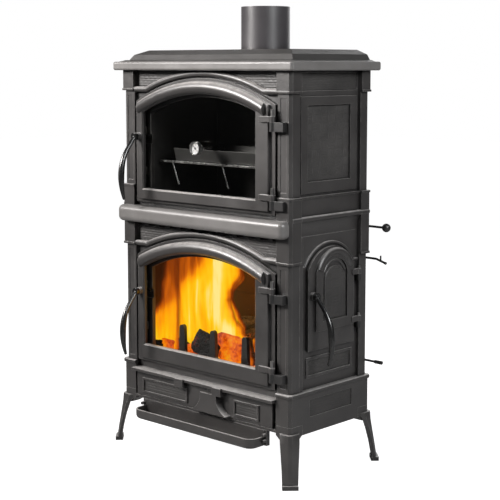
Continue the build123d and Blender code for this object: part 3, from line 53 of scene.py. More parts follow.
# The body's middle, from which places are counted, across (x) and in depth (y)
plate_low, plate_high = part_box("top_plate")
middle = (plate_low + plate_high) / 2


def place(x, y, z):
    """A point given from the body's middle, in the shared frame."""
    return Vector((middle.x + x, middle.y + y, z))


# Camera, as fitted to the photograph's edges
camera_from_middle = (2.6294, -2.7858, 1.1895)
camera_forward = Vector((-0.67866, 0.72669, -0.10649))
camera_lens, camera_sensor = 90.67, 36.0
camera_shift = -0.10
camera_near, camera_far = 0.05, 60.0

# Softboxes: place from the body's middle, the height that each aims at, size, how far the beam
# spreads in degrees, strength and tint
softboxes = {
    "key_softbox": {
        "at": (-2.0, -3.0, 2.7), "aim": 1.25, "size": (1.1, 1.1), "spread": 60.0,
        "strength": 34.0, "tint": (1.0, 0.965, 0.945),
    },
    "side_softbox": {
        "at": (3.2, -0.6, 2.5), "aim": 0.5, "size": (1.2, 1.2), "spread": 180.0,
        "strength": 80.0, "tint": (0.98, 0.99, 1.0),
    },
    "back_softbox": {
        "at": (-1.6, 3.4, 1.9), "aim": 0.75, "size": (4.0, 2.2), "spread": 180.0,
        "strength": 45.0, "tint": (1.0, 1.0, 1.0),
    },
}
world_light = 0.07
fire_light_at = (-0.06, -0.02, 0.43)
fire_light_radius = 0.1
fire_light_strength = 4.0
fire_light_tint = (1.0, 0.40, 0.10)


def add_camera():
    camera = bpy.data.objects.new("camera", bpy.data.cameras.new("camera"))
    scene.collection.objects.link(camera)
    camera.data.lens = camera_lens
    camera.data.sensor_width = camera_sensor
    camera.data.shift_y = camera_shift
    camera.data.clip_start = camera_near
    camera.data.clip_end = camera_far
    camera.location = place(*camera_from_middle)
    camera.rotation_mode = "QUATERNION"
    camera.rotation_quaternion = camera_forward.to_track_quat("-Z", "Y")
    scene.camera = camera


def add_lamp(name, light, at):
    lamp = bpy.data.objects.new(name, light)
    scene.collection.objects.link(lamp)
    lamp.location = place(*at)
    lamp.visible_camera = False
    return lamp


def add_lights():
    for name, box in softboxes.items():
        light = bpy.data.lights.new(name, "AREA")
        light.shape = "RECTANGLE"
        light.size, light.size_y = box["size"]
        light.spread = math.radians(box["spread"])
        light.energy = box["strength"]
        light.color = box["tint"]
        lamp = add_lamp(name, light, box["at"])
        aim = place(0, 0, box["aim"]) - lamp.location
        lamp.rotation_mode = "QUATERNION"
        lamp.rotation_quaternion = aim.to_track_quat("-Z", "Y")
    glow = bpy.data.lights.new("fire_light", "POINT")
    glow.energy = fire_light_strength
    glow.color = fire_light_tint
    glow.shadow_soft_size = fire_light_radius
    add_lamp("fire_light", glow, fire_light_at)


def add_world():
    """White where the background is seen, and a weaker even light on everything else."""
    world = bpy.data.worlds.new("studio")
    scene.world = world
    world.use_nodes = True
    tree = world.node_tree
    seen = tree.nodes.new("ShaderNodeLightPath").outputs["Is Camera Ray"]
    strength = tree.nodes.new("ShaderNodeMapRange")
    tree.links.new(seen, strength.inputs["Value"])
    strength.inputs["To Min"].default_value = world_light
    strength.inputs["To Max"].default_value = 1.0
    background = tree.nodes["Background"]
    background.inputs["Color"].default_value = (1.0, 1.0, 1.0, 1.0)
    tree.links.new(strength.outputs[0], background.inputs["Strength"])


# Shaders
class Shader:
    """A material and its node tree, with short ways to add nodes and join them."""

    def __init__(self, name):
        self.material = bpy.data.materials.new(name)
        self.material.use_nodes = True
        self.tree = self.material.node_tree
        self.tree.nodes.clear()
        self.surface = self.node("ShaderNodeOutputMaterial")
        self.coordinates = self.node("ShaderNodeTexCoord").outputs["Object"]

    def node(self, kind, settings=None, **inputs):
        """A new node; an input's name has underscores in place of its spaces."""
        made = self.tree.nodes.new(kind)
        for key, value in (settings or {}).items():
            setattr(made, key, value)
        for key, value in inputs.items():
            self.put(made, key.replace("_", " "), value)
        return made

    def put(self, made, key, value):
        """Sets an input, by name or by number, to a constant or to another node's output."""
        names = [socket.name.lower() for socket in made.inputs]
        socket = made.inputs[key if isinstance(key, int) else names.index(key.lower())]
        if isinstance(value, bpy.types.NodeSocket):
            self.tree.links.new(value, socket)
        else:
            socket.default_value = value

    def in_order(self, kind, settings, *values):
        """A node whose inputs are given by their order."""
        made = self.node(kind, settings)
        for i, value in enumerate(values):
            self.put(made, i, value)
        return made

    def math(self, kind, *values):
        return self.in_order("ShaderNodeMath", {"operation": kind}, *values).outputs[0]

    def times(self, a, b):
        return self.math("MULTIPLY", a, b)

    def plus(self, a, b):
        return self.math("ADD", a, b)

    def scaled(self, x, y, z):
        """The coordinates, each times its own factor."""
        operation = {"operation": "MULTIPLY"}
        made = self.in_order("ShaderNodeVectorMath", operation, self.coordinates, (x, y, z))
        return made.outputs[0]

    def upright(self, vector):
        """The part of a vector that points up."""
        return self.node("ShaderNodeSeparateXYZ", Vector=vector).outputs["Z"]

    def noise(self, scale, detail, roughness, vector=None, distortion=0.0):
        made = self.node(
            "ShaderNodeTexNoise",
            Scale=scale,
            Detail=detail,
            Roughness=roughness,
            Distortion=distortion,
            Vector=vector or self.coordinates,
        )
        return made.outputs["Fac"]

    def cracks(self, scale, vector=None):
        """How far a point is from the nearest crack between broken lumps."""
        made = self.node(
            "ShaderNodeTexVoronoi",
            {"feature": "DISTANCE_TO_EDGE"},
            Scale=scale,
            Vector=vector or self.coordinates,
        )
        return made.outputs["Distance"]

    def ramp(self, fac, stops):
        """A colour ramp; each stop is a place and a colour."""
        made = self.node("ShaderNodeValToRGB", Fac=fac)
        elements = made.color_ramp.elements
        while len(elements) < len(stops):
            elements.new(0.5)
        for element, (at, colour) in zip(elements, stops):
            element.position = at
            element.color = (*colour, 1.0)
        return made.outputs["Color"]

    def span(self, value, low, high, to_low=0.0, to_high=1.0, smooth=False):
        """A value carried from one range to another, and held at its ends."""
        made = self.node("ShaderNodeMapRange", Value=value, From_Min=low, From_Max=high)
        made.interpolation_type = "SMOOTHSTEP" if smooth else "LINEAR"
        self.put(made, "To Min", to_low)
        self.put(made, "To Max", to_high)
        return made.outputs[0]

    def mix(self, fac, a, b, blend="MIX"):
        made = self.node("ShaderNodeMix", {"data_type": "RGBA", "blend_type": blend})
        for key, value in ((0, fac), (6, a), (7, b)):
            if isinstance(value, tuple):
                value = (*value, 1.0)
            self.put(made, key, value)
        return made.outputs[2]

    def darkened(self, tone, factor):
        """A colour times a grey factor."""
        shade = self.node("ShaderNodeCombineColor", Red=factor, Green=factor, Blue=factor)
        return self.mix(1.0, tone, shade.outputs[0], "MULTIPLY")

    def bump(self, height, distance, strength, normal=None):
        made = self.node(
            "ShaderNodeBump", Height=height, Distance=distance, Strength=strength
        )
        if normal is not None:
            self.put(made, "Normal", normal)
        return made.outputs["Normal"]

    def finish(self, shader):
        self.tree.links.new(shader.outputs[0], self.surface.inputs["Surface"])
        return self.material

    def solid(self, **inputs):
        """Ends the material with an opaque surface."""
        return self.finish(self.node("ShaderNodeBsdfPrincipled", **inputs))

    def layered(self, fac, clear, front):
        """Ends the material with a see-through shader that a second one covers in part."""
        outputs = fac, clear.outputs[0], front.outputs[0]
        return self.finish(self.in_order("ShaderNodeMixShader", {}, *outputs))


def rounded_normal(shader, radius):
    """A normal that rounds sharp edges."""
    return shader.node("ShaderNodeBevel", {"samples": 6}, Radius=radius).outputs[0]


def edge_mask(shader, rounded):
    """A mask that is 1 on sharp edges."""
    plain = shader.node("ShaderNodeNewGeometry").outputs["Normal"]
    operation = {"operation": "DOT_PRODUCT"}
    dot = shader.in_order("ShaderNodeVectorMath", operation, rounded, plain)
    return shader.span(dot.outputs["Value"], 0.985, 0.86, smooth=True)


def crevice(shader, reach, darkest):
    """A factor that falls in corners and joints: painted shade, darkest where they are most
    closed in.
    """
    open_share = shader.node(
        "ShaderNodeAmbientOcclusion", {"samples": 6}, Distance=reach
    ).outputs["AO"]
    return shader.span(open_share, 0.3, 0.9, darkest, 1.0)


def painted_iron(name, dark, light, rough, grain, edge_radius=0.0016, edge_wear_and_highlight=None,
                 ledge_dust_and_highlight=None, darker_above=None, corner_shade=0.1, reach=0.026):
    """Satin black stove paint on cast iron: sandy grain, clouds of tone, worn edges with a
    painted highlight.

    The edges may be tinted for wear and painted highlight, and the upward-facing ledges for dust
    and painted highlight; the iron may be darker above a height. Painted shade darkens the
    corners, within reach, down to the given share.
    """
    s = Shader(name)
    normal = rounded_normal(s, edge_radius)
    clouds = s.noise(9.0, 3.0, 0.6)
    sand = s.noise(620.0, 3.0, 0.65)
    skin = s.noise(70.0, 4.0, 0.55)
    tone = s.mix(s.span(clouds, 0.3, 0.7), dark, light)
    tone = s.mix(s.span(sand, 0.35, 0.75, 0.0, 0.35), tone, tuple(1.6 * c for c in light))
    if darker_above:
        above = s.span(s.upright(s.coordinates), darker_above, darker_above + 0.004)
        tone = s.mix(above, tone, s.mix(0.72, tone, (0.0, 0.0, 0.0)))
    # Upward-facing ledges lighter: partly dust, partly a painted highlight.
    if ledge_dust_and_highlight:
        upward = s.span(s.upright(normal), 0.40, 0.88)
        tone = s.mix(s.times(upward, s.span(skin, 0.3, 0.6, 0.6, 1.0)), tone, ledge_dust_and_highlight)
    # Sharp edges lighter: partly wear, partly a painted highlight.
    if edge_wear_and_highlight:
        worn_and_highlit = s.times(edge_mask(s, normal), s.span(skin, 0.4, 0.62, 0.25, 0.85))
        tone = s.mix(worn_and_highlit, tone, edge_wear_and_highlight)
    # Painted shade: the corners and joints are darkened where they are closed in.
    if corner_shade < 1.0:
        tone = s.darkened(tone, crevice(s, reach, corner_shade))
    height = s.plus(s.times(sand, 0.6), s.times(skin, 0.9))
    return s.solid(
        Base_Color=tone,
        Roughness=s.span(s.plus(clouds, sand), 0.7, 1.3, rough - 0.05, rough + 0.07),
        Normal=s.bump(height, grain, 0.6, normal),
        IOR=1.75,
    )


def bare_metal(name, colour, rough, scratch=900.0):
    """Bright turned steel or zinc, with fine scratches and a few dull clouds."""
    s = Shader(name)
    lines = s.noise(scratch, 2.0, 0.5, s.scaled(0.12, 1.0, 1.0))
    clouds = s.noise(25.0, 3.0, 0.6)
    return s.solid(
        Base_Color=s.mix(s.span(clouds, 0.35, 0.7), tuple(0.6 * c for c in colour), colour),
        Roughness=s.span(s.plus(lines, clouds), 0.7, 1.3, rough - 0.08, rough + 0.12),
        Metallic=1.0,
        Normal=s.bump(lines, 0.0002, 0.4, rounded_normal(s, 0.0008)),
    )


def clear_glass(name):
    """Clear ceramic glass with a faint, uneven sheen."""
    s = Shader(name)
    haze = s.noise(6.0, 3.0, 0.6)
    through = s.node("ShaderNodeBsdfTransparent", Color=(0.95, 0.95, 0.94, 1.0))
    gloss = s.node(
        "ShaderNodeBsdfGlossy",
        Color=(1.0, 1.0, 1.0, 1.0),
        Roughness=s.span(haze, 0.3, 0.7, 0.05, 0.16),
    )
    facing = s.node("ShaderNodeLayerWeight").outputs["Facing"]
    sheen = s.math("MULTIPLY_ADD", s.math("POWER", facing, 5.0), 0.3, 0.012)
    return s.layered(sheen, through, gloss)


def brick_finish(name):
    """Refractory brick in courses, pitted and blackened by soot."""
    s = Shader(name)
    grain = s.noise(240.0, 4.0, 0.6)
    soot = s.noise(7.0, 4.0, 0.6)
    tone = s.mix(s.span(soot, 0.3, 0.65), (0.010, 0.004, 0.001), (0.055, 0.024, 0.007))
    course = s.math("PINGPONG", s.upright(s.coordinates), 0.0575)
    joint = s.span(course, 0.0, 0.0016, 0.25, 1.0)
    return s.solid(
        Base_Color=s.darkened(tone, joint),
        Roughness=0.9,
        Normal=s.bump(s.plus(grain, s.times(joint, 1.4)), 0.0012, 0.8),
    )


def grainy_finish(name, dark, light, grain, spread, depth, rough):
    """A dull, rough surface in two tones.

    The grain is given by its scale, its detail and its roughness, and spread is the part of its
    range over which one tone turns into the other.
    """
    s = Shader(name)
    grains = s.noise(*grain)
    return s.solid(
        Base_Color=s.mix(s.span(grains, *spread), dark, light),
        Roughness=rough,
        Normal=s.bump(grains, depth, 0.8),
    )


def flame_finish(name):
    """Fire: clear where it is cool, and from red through orange to pale yellow as it heats."""
    s = Shader(name)
    heat = s.node("ShaderNodeAttribute", {"attribute_name": "hotness"}).outputs["Fac"]
    wide = s.noise(1.0, 3.0, 0.55, s.scaled(26.0, 31.0, 4.2), 0.6)
    fine = s.noise(1.0, 2.0, 0.5, s.scaled(75.0, 57.0, 9.0))
    streak = s.plus(s.times(wide, 0.72), s.times(fine, 0.28))
    lift = s.span(streak, 0.34, 0.66, -0.17, 0.15)
    hot = s.plus(heat, s.times(lift, s.span(heat, 0.0, 0.35)))
    colour = s.ramp(
        hot,
        [
            (0.05, (0.06, 0.010, 0.001)),
            (0.24, (0.20, 0.030, 0.002)),
            (0.40, (0.62, 0.12, 0.003)),
            (0.54, (1.0, 0.32, 0.003)),
            (0.70, (1.0, 0.48, 0.003)),
            (0.84, (1.0, 0.62, 0.014)),
            (1.0, (1.0, 0.80, 0.26)),
        ],
    )
    clear = s.node("ShaderNodeBsdfTransparent")
    glow = s.node("ShaderNodeEmission", Color=colour, Strength=1.15)
    return s.layered(s.span(hot, 0.04, 0.34, 0.0, 0.93, smooth=True), clear, glow)


def charred_finish(name, crust, glow_low, glow_high, strength, lump_scale):
    """Charred wood, black or ashy outside, with heat in its cracks and hollows."""
    s = Shader(name)
    spread = s.noise(16.0, 4.0, 0.6)
    fine = s.noise(160.0, 4.0, 0.6)
    gap = s.plus(s.cracks(lump_scale, s.scaled(1.0, 1.0, 1.3)), s.times(fine, 0.12))
    heat = s.times(s.span(gap, 0.20, 0.07), s.span(spread, glow_low, glow_high))
    colour = s.ramp(
        heat, [(0.0, (0.2, 0.01, 0.001)), (0.5, (0.8, 0.10, 0.002)), (1.0, (1.0, 0.32, 0.006))]
    )
    ash = s.times(s.span(fine, 0.52, 0.72), 0.2)
    height = s.plus(s.span(gap, 0.0, 0.3), s.times(fine, 0.4))
    return s.solid(
        Base_Color=s.mix(ash, crust, (0.07, 0.06, 0.052)),
        Roughness=0.85,
        Emission_Color=colour,
        Emission_Strength=s.times(s.span(heat, 0.0, 0.35), strength),
        Normal=s.bump(height, 0.003, 0.8),
    )


def glowing_finish(name):
    """A lump of wood burnt through: orange-red nearly all over, darker where it crusts."""
    s = Shader(name)
    spread = s.noise(22.0, 3.0, 0.55)
    fine = s.noise(130.0, 3.0, 0.6)
    gap = s.cracks(48.0)
    heat = s.plus(s.times(spread, 0.7), s.times(fine, 0.3))
    heat = s.plus(heat, s.span(gap, 0.16, 0.0, 0.0, 0.05))
    colour = s.ramp(
        heat,
        [
            (0.36, (0.14, 0.010, 0.001)),
            (0.43, (0.46, 0.040, 0.001)),
            (0.50, (0.80, 0.100, 0.001)),
            (0.58, (1.0, 0.20, 0.002)),
            (0.70, (1.0, 0.38, 0.006)),
        ],
    )
    return s.solid(
        Base_Color=(0.03, 0.012, 0.008, 1.0),
        Roughness=0.9,
        Emission_Color=colour,
        Emission_Strength=0.95,
        Normal=s.bump(gap, 0.003, 0.7),
    )


def printed_enamel(name, colour, rough):
    """Printed enamel, a little uneven."""
    s = Shader(name)
    spots = s.noise(800.0, 2.0, 0.5)
    return s.solid(
        Base_Color=s.mix(s.span(spots, 0.3, 0.7), tuple(0.82 * c for c in colour), colour),
        Roughness=rough,
        Normal=s.bump(spots, 0.00005, 0.5),
    )


# Finishes: one for each slot of the record, then those of single nodes and of the scene's pieces.
# The height at which the top plate's rim ends is given too, as the plate is darker above it
iron_dark, iron_light = (0.028, 0.026, 0.0255), (0.050, 0.047, 0.0455)
# Tint of the sharp edges: partly wear, partly a painted highlight.
worn_highlit_edge = (0.46, 0.44, 0.425)
# Tint of the upward-facing ledges: partly dust, partly a painted highlight.
dusty_highlit_ledge = (0.54, 0.52, 0.505)
rim_top = 1.2
# Unless given otherwise, each iron gets painted shade in its corners and joints.
finishes = {
    "cast_iron": painted_iron(
        "cast_iron", iron_dark, iron_light, 0.37, 0.0006,
        edge_wear_and_highlight=worn_highlit_edge, ledge_dust_and_highlight=dusty_highlit_ledge,
    ),
    "textured_iron": painted_iron(
        "textured_iron", iron_dark, iron_light, 0.42, 0.0007,
        edge_wear_and_highlight=worn_highlit_edge, ledge_dust_and_highlight=dusty_highlit_ledge,
    ),
    "handle_iron": painted_iron(
        "handle_iron", (0.005, 0.005, 0.005), (0.009, 0.009, 0.009), 0.24, 0.0002, corner_shade=1.0
    ),
    "black_sheet": painted_iron(
        "black_sheet", (0.045, 0.042, 0.045), (0.06, 0.056, 0.06), 0.36, 0.0003
    ),
    "oven_enamel": painted_iron(
        "oven_enamel", (0.024, 0.023, 0.023), (0.036, 0.035, 0.035), 0.35, 0.0002
    ),
    "dial_needle": painted_iron(
        "dial_needle", (0.02, 0.02, 0.02), (0.03, 0.03, 0.03), 0.4, 0.0001, corner_shade=1.0
    ),
    "hot_glass": clear_glass("hot_glass"),
    "seal_rope": grainy_finish(
        "seal_rope", (0.1, 0.095, 0.09), (0.3, 0.28, 0.26), (380.0, 2.0, 0.5), (0.3, 0.7),
        0.001, 0.95,
    ),
    "bare_steel": bare_metal("bare_steel", (0.42, 0.41, 0.4), 0.32),
    "galvanised": bare_metal("galvanised", (0.34, 0.35, 0.36), 0.45, scratch=120.0),
    "chromed_wire": bare_metal("chromed_wire", (0.55, 0.55, 0.55), 0.25),
    "dial_case": bare_metal("dial_case", (0.6, 0.6, 0.59), 0.25),
    "firebrick": brick_finish("firebrick"),
}
# A lighter copy of the iron for the top plate and the shelf: a painted highlight, darker again
# above the rim's top.
highlit_iron = painted_iron(
    "highlit_iron", (0.135, 0.129, 0.125), (0.185, 0.178, 0.173), 0.38, 0.0005,
    edge_wear_and_highlight=worn_highlit_edge, darker_above=rim_top,
)
black_iron = painted_iron(
    "black_iron", (0.010, 0.010, 0.010), (0.016, 0.015, 0.015), 0.4, 0.0004
)
# The relief's hollows get painted shade, within a short reach.
relief_iron = painted_iron(
    "relief", (0.016, 0.015, 0.0145), (0.046, 0.043, 0.041), 0.55, 0.0005,
    edge_radius=0.0006, corner_shade=0.08, reach=0.006,
)
flame = flame_finish("flame")
charred = charred_finish("charred", (0.006, 0.005, 0.005), 0.56, 0.80, 0.4, 62.0)
embers = charred_finish("ember_bed", (0.012, 0.008, 0.007), 0.34, 0.55, 1.4, 80.0)
glowing = glowing_finish("glowing")
ash_grey = grainy_finish(
    "ash", (0.12, 0.115, 0.11), (0.42, 0.41, 0.40), (190.0, 5.0, 0.65), (0.35, 0.65), 0.002, 1.0
)
dial_white = printed_enamel("dial_white", (0.62, 0.62, 0.61), 0.45)
dial_ink = printed_enamel("dial_ink", (0.02, 0.02, 0.02), 0.5)
own_finishes = {
    highlit_iron: ("top_plate", "mid_shelf"),
    black_iron: (
        "hinge_brackets", "log_guard", "damper_rod", "upper_air_rod", "primary_air_rod",
        "oven_tray",
    ),
}


def dress_frame():
    """Gives every carried-over piece its own finish, or else that of its slot."""
    own = {node: finish for finish, nodes in own_finishes.items() for node in nodes}
    for entry in frame["record"]["subparts"]:
        mesh = frame["nodes"][entry["node"]].data
        mesh.materials.clear()
        mesh.materials.append(own.get(entry["node"], finishes[entry["material_slot"]]))


# Mesh helpers
def piece(name, points, faces, material, body="root", smooth=True):
    """A new mesh piece, in place, that rides on a body."""
    mesh = bpy.data.meshes.new(name)
    mesh.from_pydata([tuple(p) for p in points], [], faces)
    mesh.update()
    mesh.polygons.foreach_set("use_smooth", [smooth] * len(mesh.polygons))
    mesh.materials.append(material)
    made = bpy.data.objects.new(name, mesh)
    scene.collection.objects.link(made)
    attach(made, body)
    return made


def grid_faces(rows, columns):
    """The faces of a grid of points laid out row by row."""
    corners = [(i * columns + j, (i + 1) * columns + j)
               for i in range(rows - 1) for j in range(columns - 1)]
    return [(a, a + 1, b + 1, b) for a, b in corners]


def ring_faces(rings, around):
    """The faces of a tube of closed rings, seen from outside."""
    faces = []
    for i in range(rings - 1):
        a, b = i * around, (i + 1) * around
        for j in range(around):
            k = (j + 1) % around
            faces.append((a + j, a + k, b + k, b + j))
    return faces


def turned_over(faces):
    return [face[::-1] for face in faces]


def rim_of_grid(rows, columns):
    """The points round a grid's edge, in order."""
    low = list(range(columns))
    right = [i * columns + columns - 1 for i in range(1, rows)]
    high = [(rows - 1) * columns + j for j in range(columns - 2, -1, -1)]
    left = [i * columns for i in range(rows - 2, 0, -1)]
    return low + right + high + left


def closed_sheet(rows, columns, top, under):
    """A grid of points with a flat back, as a closed mesh: its points and its faces."""
    rim = rim_of_grid(rows, columns)
    points = list(top) + [under(top[k]) for k in rim]
    first = len(top)
    faces = grid_faces(rows, columns)
    for i, a in enumerate(rim):
        j = (i + 1) % len(rim)
        faces.append((first + i, first + j, rim[j], a))
    faces.append(tuple(first + i for i in range(len(rim) - 1, -1, -1)))
    return points, faces


# The two doors on the front: the height of each one's foot, of its window's sill and of the
# centre of its arches, and where the textured ground beside the arch starts and ends
doors = {
    "oven": {"foot": 0.770, "sill": 0.812, "centre": 0.540, "ground": (1.1255, 1.1725)},
    "fire": {"foot": 0.270, "sill": 0.324, "centre": 0.063, "ground": (0.6485, 0.6905)},
}

# Relief: how deep it is, how it dies out at its border, and the sizes of its two patterns
relief_depth = 0.0013
relief_border = 0.004
relief_sink = 0.0006
thread_pitch = 0.0075
thread_length = 2.6 * thread_pitch
thread_stagger = 0.37
cell_width, cell_height = 0.035, 0.025
level_ribs, upright_ribs = 3, 4


def threads(across, up):
    """Short level threads, each a little higher or lower than its neighbours."""
    row = math.floor(up / thread_pitch)
    v = up / thread_pitch - row
    along = across / thread_length + thread_stagger * row
    column = math.floor(along)
    u = along - column
    lift = 0.62 + 0.5 * noise.noise((column * 7.13, row * 3.71, 0.5))
    return relief_depth * lift * math.sin(math.pi * v) * math.sin(math.pi * u) ** 0.35


def basket(across, up):
    """Woven blocks of ribs, turned by a quarter from each block to the next."""
    i, j = math.floor(across / cell_width), math.floor(up / cell_height)
    u, v = across / cell_width - i, up / cell_height - j
    level = (i + j) % 2 == 0
    along, over = (u, v) if level else (v, u)
    ribs = abs(math.sin(math.pi * (level_ribs if level else upright_ribs) * over))
    return relief_depth * (0.25 + 0.75 * ribs**0.7) * math.sin(math.pi * along) ** 0.5


# Each pattern's steps between points, across and up
pattern_steps = {threads: (0.0026, 0.0015), basket: (0.002, 0.002)}

# Each wall's points, given how far across, how far up and how far out
walls = {
    "front": lambda across, up, out: place(across, -out, up),
    "right": lambda across, up, out: place(out, across, up),
    "left": lambda across, up, out: place(-out, across, up),
}


def relief(name, side, low, high, ends, face, pattern, body="root"):
    """A relief on a flat wall, between two heights; ends gives its two sides at a height."""
    across_step, up_step = pattern_steps[pattern]
    levels = np.linspace(low, high, max(3, round((high - low) / up_step) + 1))
    rows = [(up, *ends(up)) for up in levels]
    columns = max(3, round(max(end - start for _, start, end in rows) / across_step) + 1)
    wall = walls[side]
    top = []
    for up, start, end in rows:
        for j in range(columns):
            across = start + (end - start) * j / (columns - 1)
            edge = min(across - start, end - across, up - levels[0], levels[-1] - up)
            height = pattern(across, up) * min(1.0, edge / relief_border)
            top.append(wall(across, up, face + height))
    out = wall(0, 0, 1) - wall(0, 0, 0)
    border = top[0].dot(out)

    def under(point):
        return point - out * (point.dot(out) - border + relief_sink)

    points, faces = closed_sheet(len(rows), columns, top, under)
    if side == "left":
        faces = turned_over(faces)
    piece(name, points, faces, relief_iron, body)


def straight(start, end):
    """The sides of a rectangle, at any height."""
    return lambda up: (start, end)


def beside_arch(side, centre, radius, outer):
    """The sides of the ground between an arch and the post to its left or right."""
    def ends(up):
        half = math.sqrt(radius**2 - (up - centre) ** 2)
        return (half, outer) if side == "right" else (-outer, -half)
    return ends


def under_arch(half, middle_y, centre, radius):
    """The sides of a panel with upright sides and a round head."""
    def ends(up):
        reach = half
        if up > centre:
            reach = min(half, math.sqrt(radius**2 - (up - centre) ** 2))
        return middle_y - reach, middle_y + reach
    return ends


# Where the walls stand, and how far the fields lie back in them
front_face, ash_front_face = 0.163, 0.184
side_face, skirt_face = 0.335, 0.351
side_door_face, blank_panel_face = 0.350, 0.347
recess = 0.0025

# The grounds: the radius of the moulding that bounds the front ones and where the post starts;
# those of each side, with their heights, ends, face and pattern; those of the ash drawer
moulding_radius, post_start = 0.634, 0.2955
side_grounds = {
    "side_frieze": (1.1185, 1.1675, -0.1285, 0.1285, side_face - recess, threads),
    "side_field": (0.8615, 1.0765, -0.0945, 0.0945, side_face - recess, basket),
    "lower_field": (0.3045, 0.3475, -0.0895, 0.1015, side_face, threads),
    "skirt_field": (0.1875, 0.2365, -0.0955, 0.0955, skirt_face - recess, threads),
}
arched_panel = {"half": 0.0465, "middle_y": 0.016, "centre": 0.566, "radius": 0.0475}
arched_panel_foot = 0.4615
blunted_head = 0.0015
arched_panel_head = arched_panel["centre"] + arched_panel["radius"] - blunted_head
ash_panel_heights = (0.1755, 0.2095)
ash_panels = {"left": (-0.2515, -0.0645), "right": (0.1425, 0.2295)}


def add_reliefs():
    for name, door in doors.items():
        for side in ("left", "right"):
            ends = beside_arch(side, door["centre"], moulding_radius, post_start)
            ground = f"{name}_spandrel_{side}"
            relief(ground, "front", *door["ground"], ends, front_face, threads)
    for side in ("right", "left"):
        for name, (low, high, start, end, face, pattern) in side_grounds.items():
            relief(f"{name}_{side}", side, low, high, straight(start, end), face, pattern)
    arched = arched_panel_foot, arched_panel_head, under_arch(**arched_panel)
    relief("side_door_field", "right", *arched, side_door_face, basket, "side_door")
    relief("blank_panel_field", "left", *arched, blank_panel_face, basket)
    for name, ends in ash_panels.items():
        panel = f"ash_panel_{name}"
        outline = *ash_panel_heights, straight(*ends)
        relief(panel, "front", *outline, ash_front_face, threads, "ash_drawer")


# Fire, drawn as the photograph shows it: by how far across the view a place lies, and by its
# level there, which is its height and a share of how far away it lies, as the camera looks down
view_across = (0.7308, 0.6825)
view_away = (-0.6825, 0.7308)
view_slope = 0.19
# The fire's left and right edges and its bright part's left edge: levels, and how far across
fire_left = ((0.28, -0.320), (0.38, -0.318), (0.43, -0.300), (0.47, -0.284), (0.60, -0.262))
fire_right = (
    (0.28, 0.040), (0.34, 0.026), (0.38, 0.014), (0.43, -0.008), (0.47, -0.026), (0.50, -0.018),
    (0.53, 0.006), (0.60, 0.012),
)
bright_left = (
    (0.28, -0.310), (0.42, -0.250), (0.47, -0.212), (0.50, -0.190), (0.55, -0.144),
    (0.60, -0.108),
)
# The palest streaks: the line that each follows, its half width and the heat that it adds
pale_streaks = (
    (
        ((0.34, -0.040), (0.38, -0.050), (0.42, -0.072), (0.47, -0.080), (0.56, -0.068),
         (0.62, -0.050)),
        0.024,
        0.30,
    ),
    (
        ((0.34, -0.150), (0.42, -0.150), (0.47, -0.140), (0.55, -0.118), (0.62, -0.100)),
        0.020,
        0.14,
    ),
    (((0.28, -0.284), (0.34, -0.284), (0.40, -0.278), (0.43, -0.266)), 0.012, 0.16),
)
fire_edge_fade = 0.034
bright_fade = (-0.045, 0.030)
dull_heat, bright_heat = 0.33, 0.37
head_levels, head_loss = (0.48, 0.62), 0.07
streak_fade_in, streak_fade_out = 0.03, 0.04
slow_sway, quick_sway = 0.010, 0.006
# A small flame beside the right-hand edge of the glass
lick = {"across": 0.046, "low": 0.270, "high": 0.352, "half": 0.007, "lean": 0.012, "heat": 0.95}
# The sheets that the fire is made of: heights, half width, step, and the depth of each sheet.
# The foremost has only the fire's left end
flame_foot, flame_head = 0.284, 0.684
flame_half = 0.292
flame_step = 0.008
flame_depths = (-0.116, -0.086, -0.050, -0.014, 0.024, 0.062, 0.098)
flame_side_fade = 0.008
front_flame_end = (-0.200, -0.150)
flame_ripple = 0.010
coldest_drawn = 0.01


def at_level(level, line):
    """How far across a line lies at a level."""
    levels, across = zip(*line)
    return float(np.interp(level, levels, across))


def ease(value, low, high):
    """A smooth step from 0 to 1."""
    share = min(1.0, max(0.0, (value - low) / (high - low)))
    return share * share * (3 - 2 * share)


def lick_heat(across, level):
    share = (level - lick["low"]) / (lick["high"] - lick["low"])
    if not 0.0 < share < 1.0:
        return 0.0
    half = lick["half"] * (1.0 - 0.7 * share)
    away = (across - lick["across"] + lick["lean"] * share) / half
    return lick["heat"] * math.exp(-(away**2))


def heat_at(x, y, up):
    """How hot the fire is at a place, from 0 to about 1."""
    across = x * view_across[0] + y * view_across[1]
    level = up + view_slope * (x * view_away[0] + y * view_away[1])
    sway = slow_sway * noise.noise((level * 16.0, y * 30.0, 2.0))
    sway += quick_sway * noise.noise((level * 45.0, y, 7.0))
    aside = across + sway
    left, bright_from = at_level(level, fire_left), at_level(level, bright_left)
    inside = ease(aside, left, left + fire_edge_fade)
    inside *= ease(at_level(level, fire_right) - aside, 0.0, fire_edge_fade)
    bright = ease(aside, bright_from + bright_fade[0], bright_from + bright_fade[1])
    heat = inside * (dull_heat + bright_heat * bright - head_loss * ease(level, *head_levels))
    for line, half, more in pale_streaks:
        away = (aside - at_level(level, line)) / half
        foot, head = line[0][0], line[-1][0]
        reach = ease(level, foot - streak_fade_in, foot)
        reach *= 1.0 - ease(level, head, head + streak_fade_out)
        heat += inside * more * reach * math.exp(-away * away / 2)
    return max(heat, lick_heat(across, level))


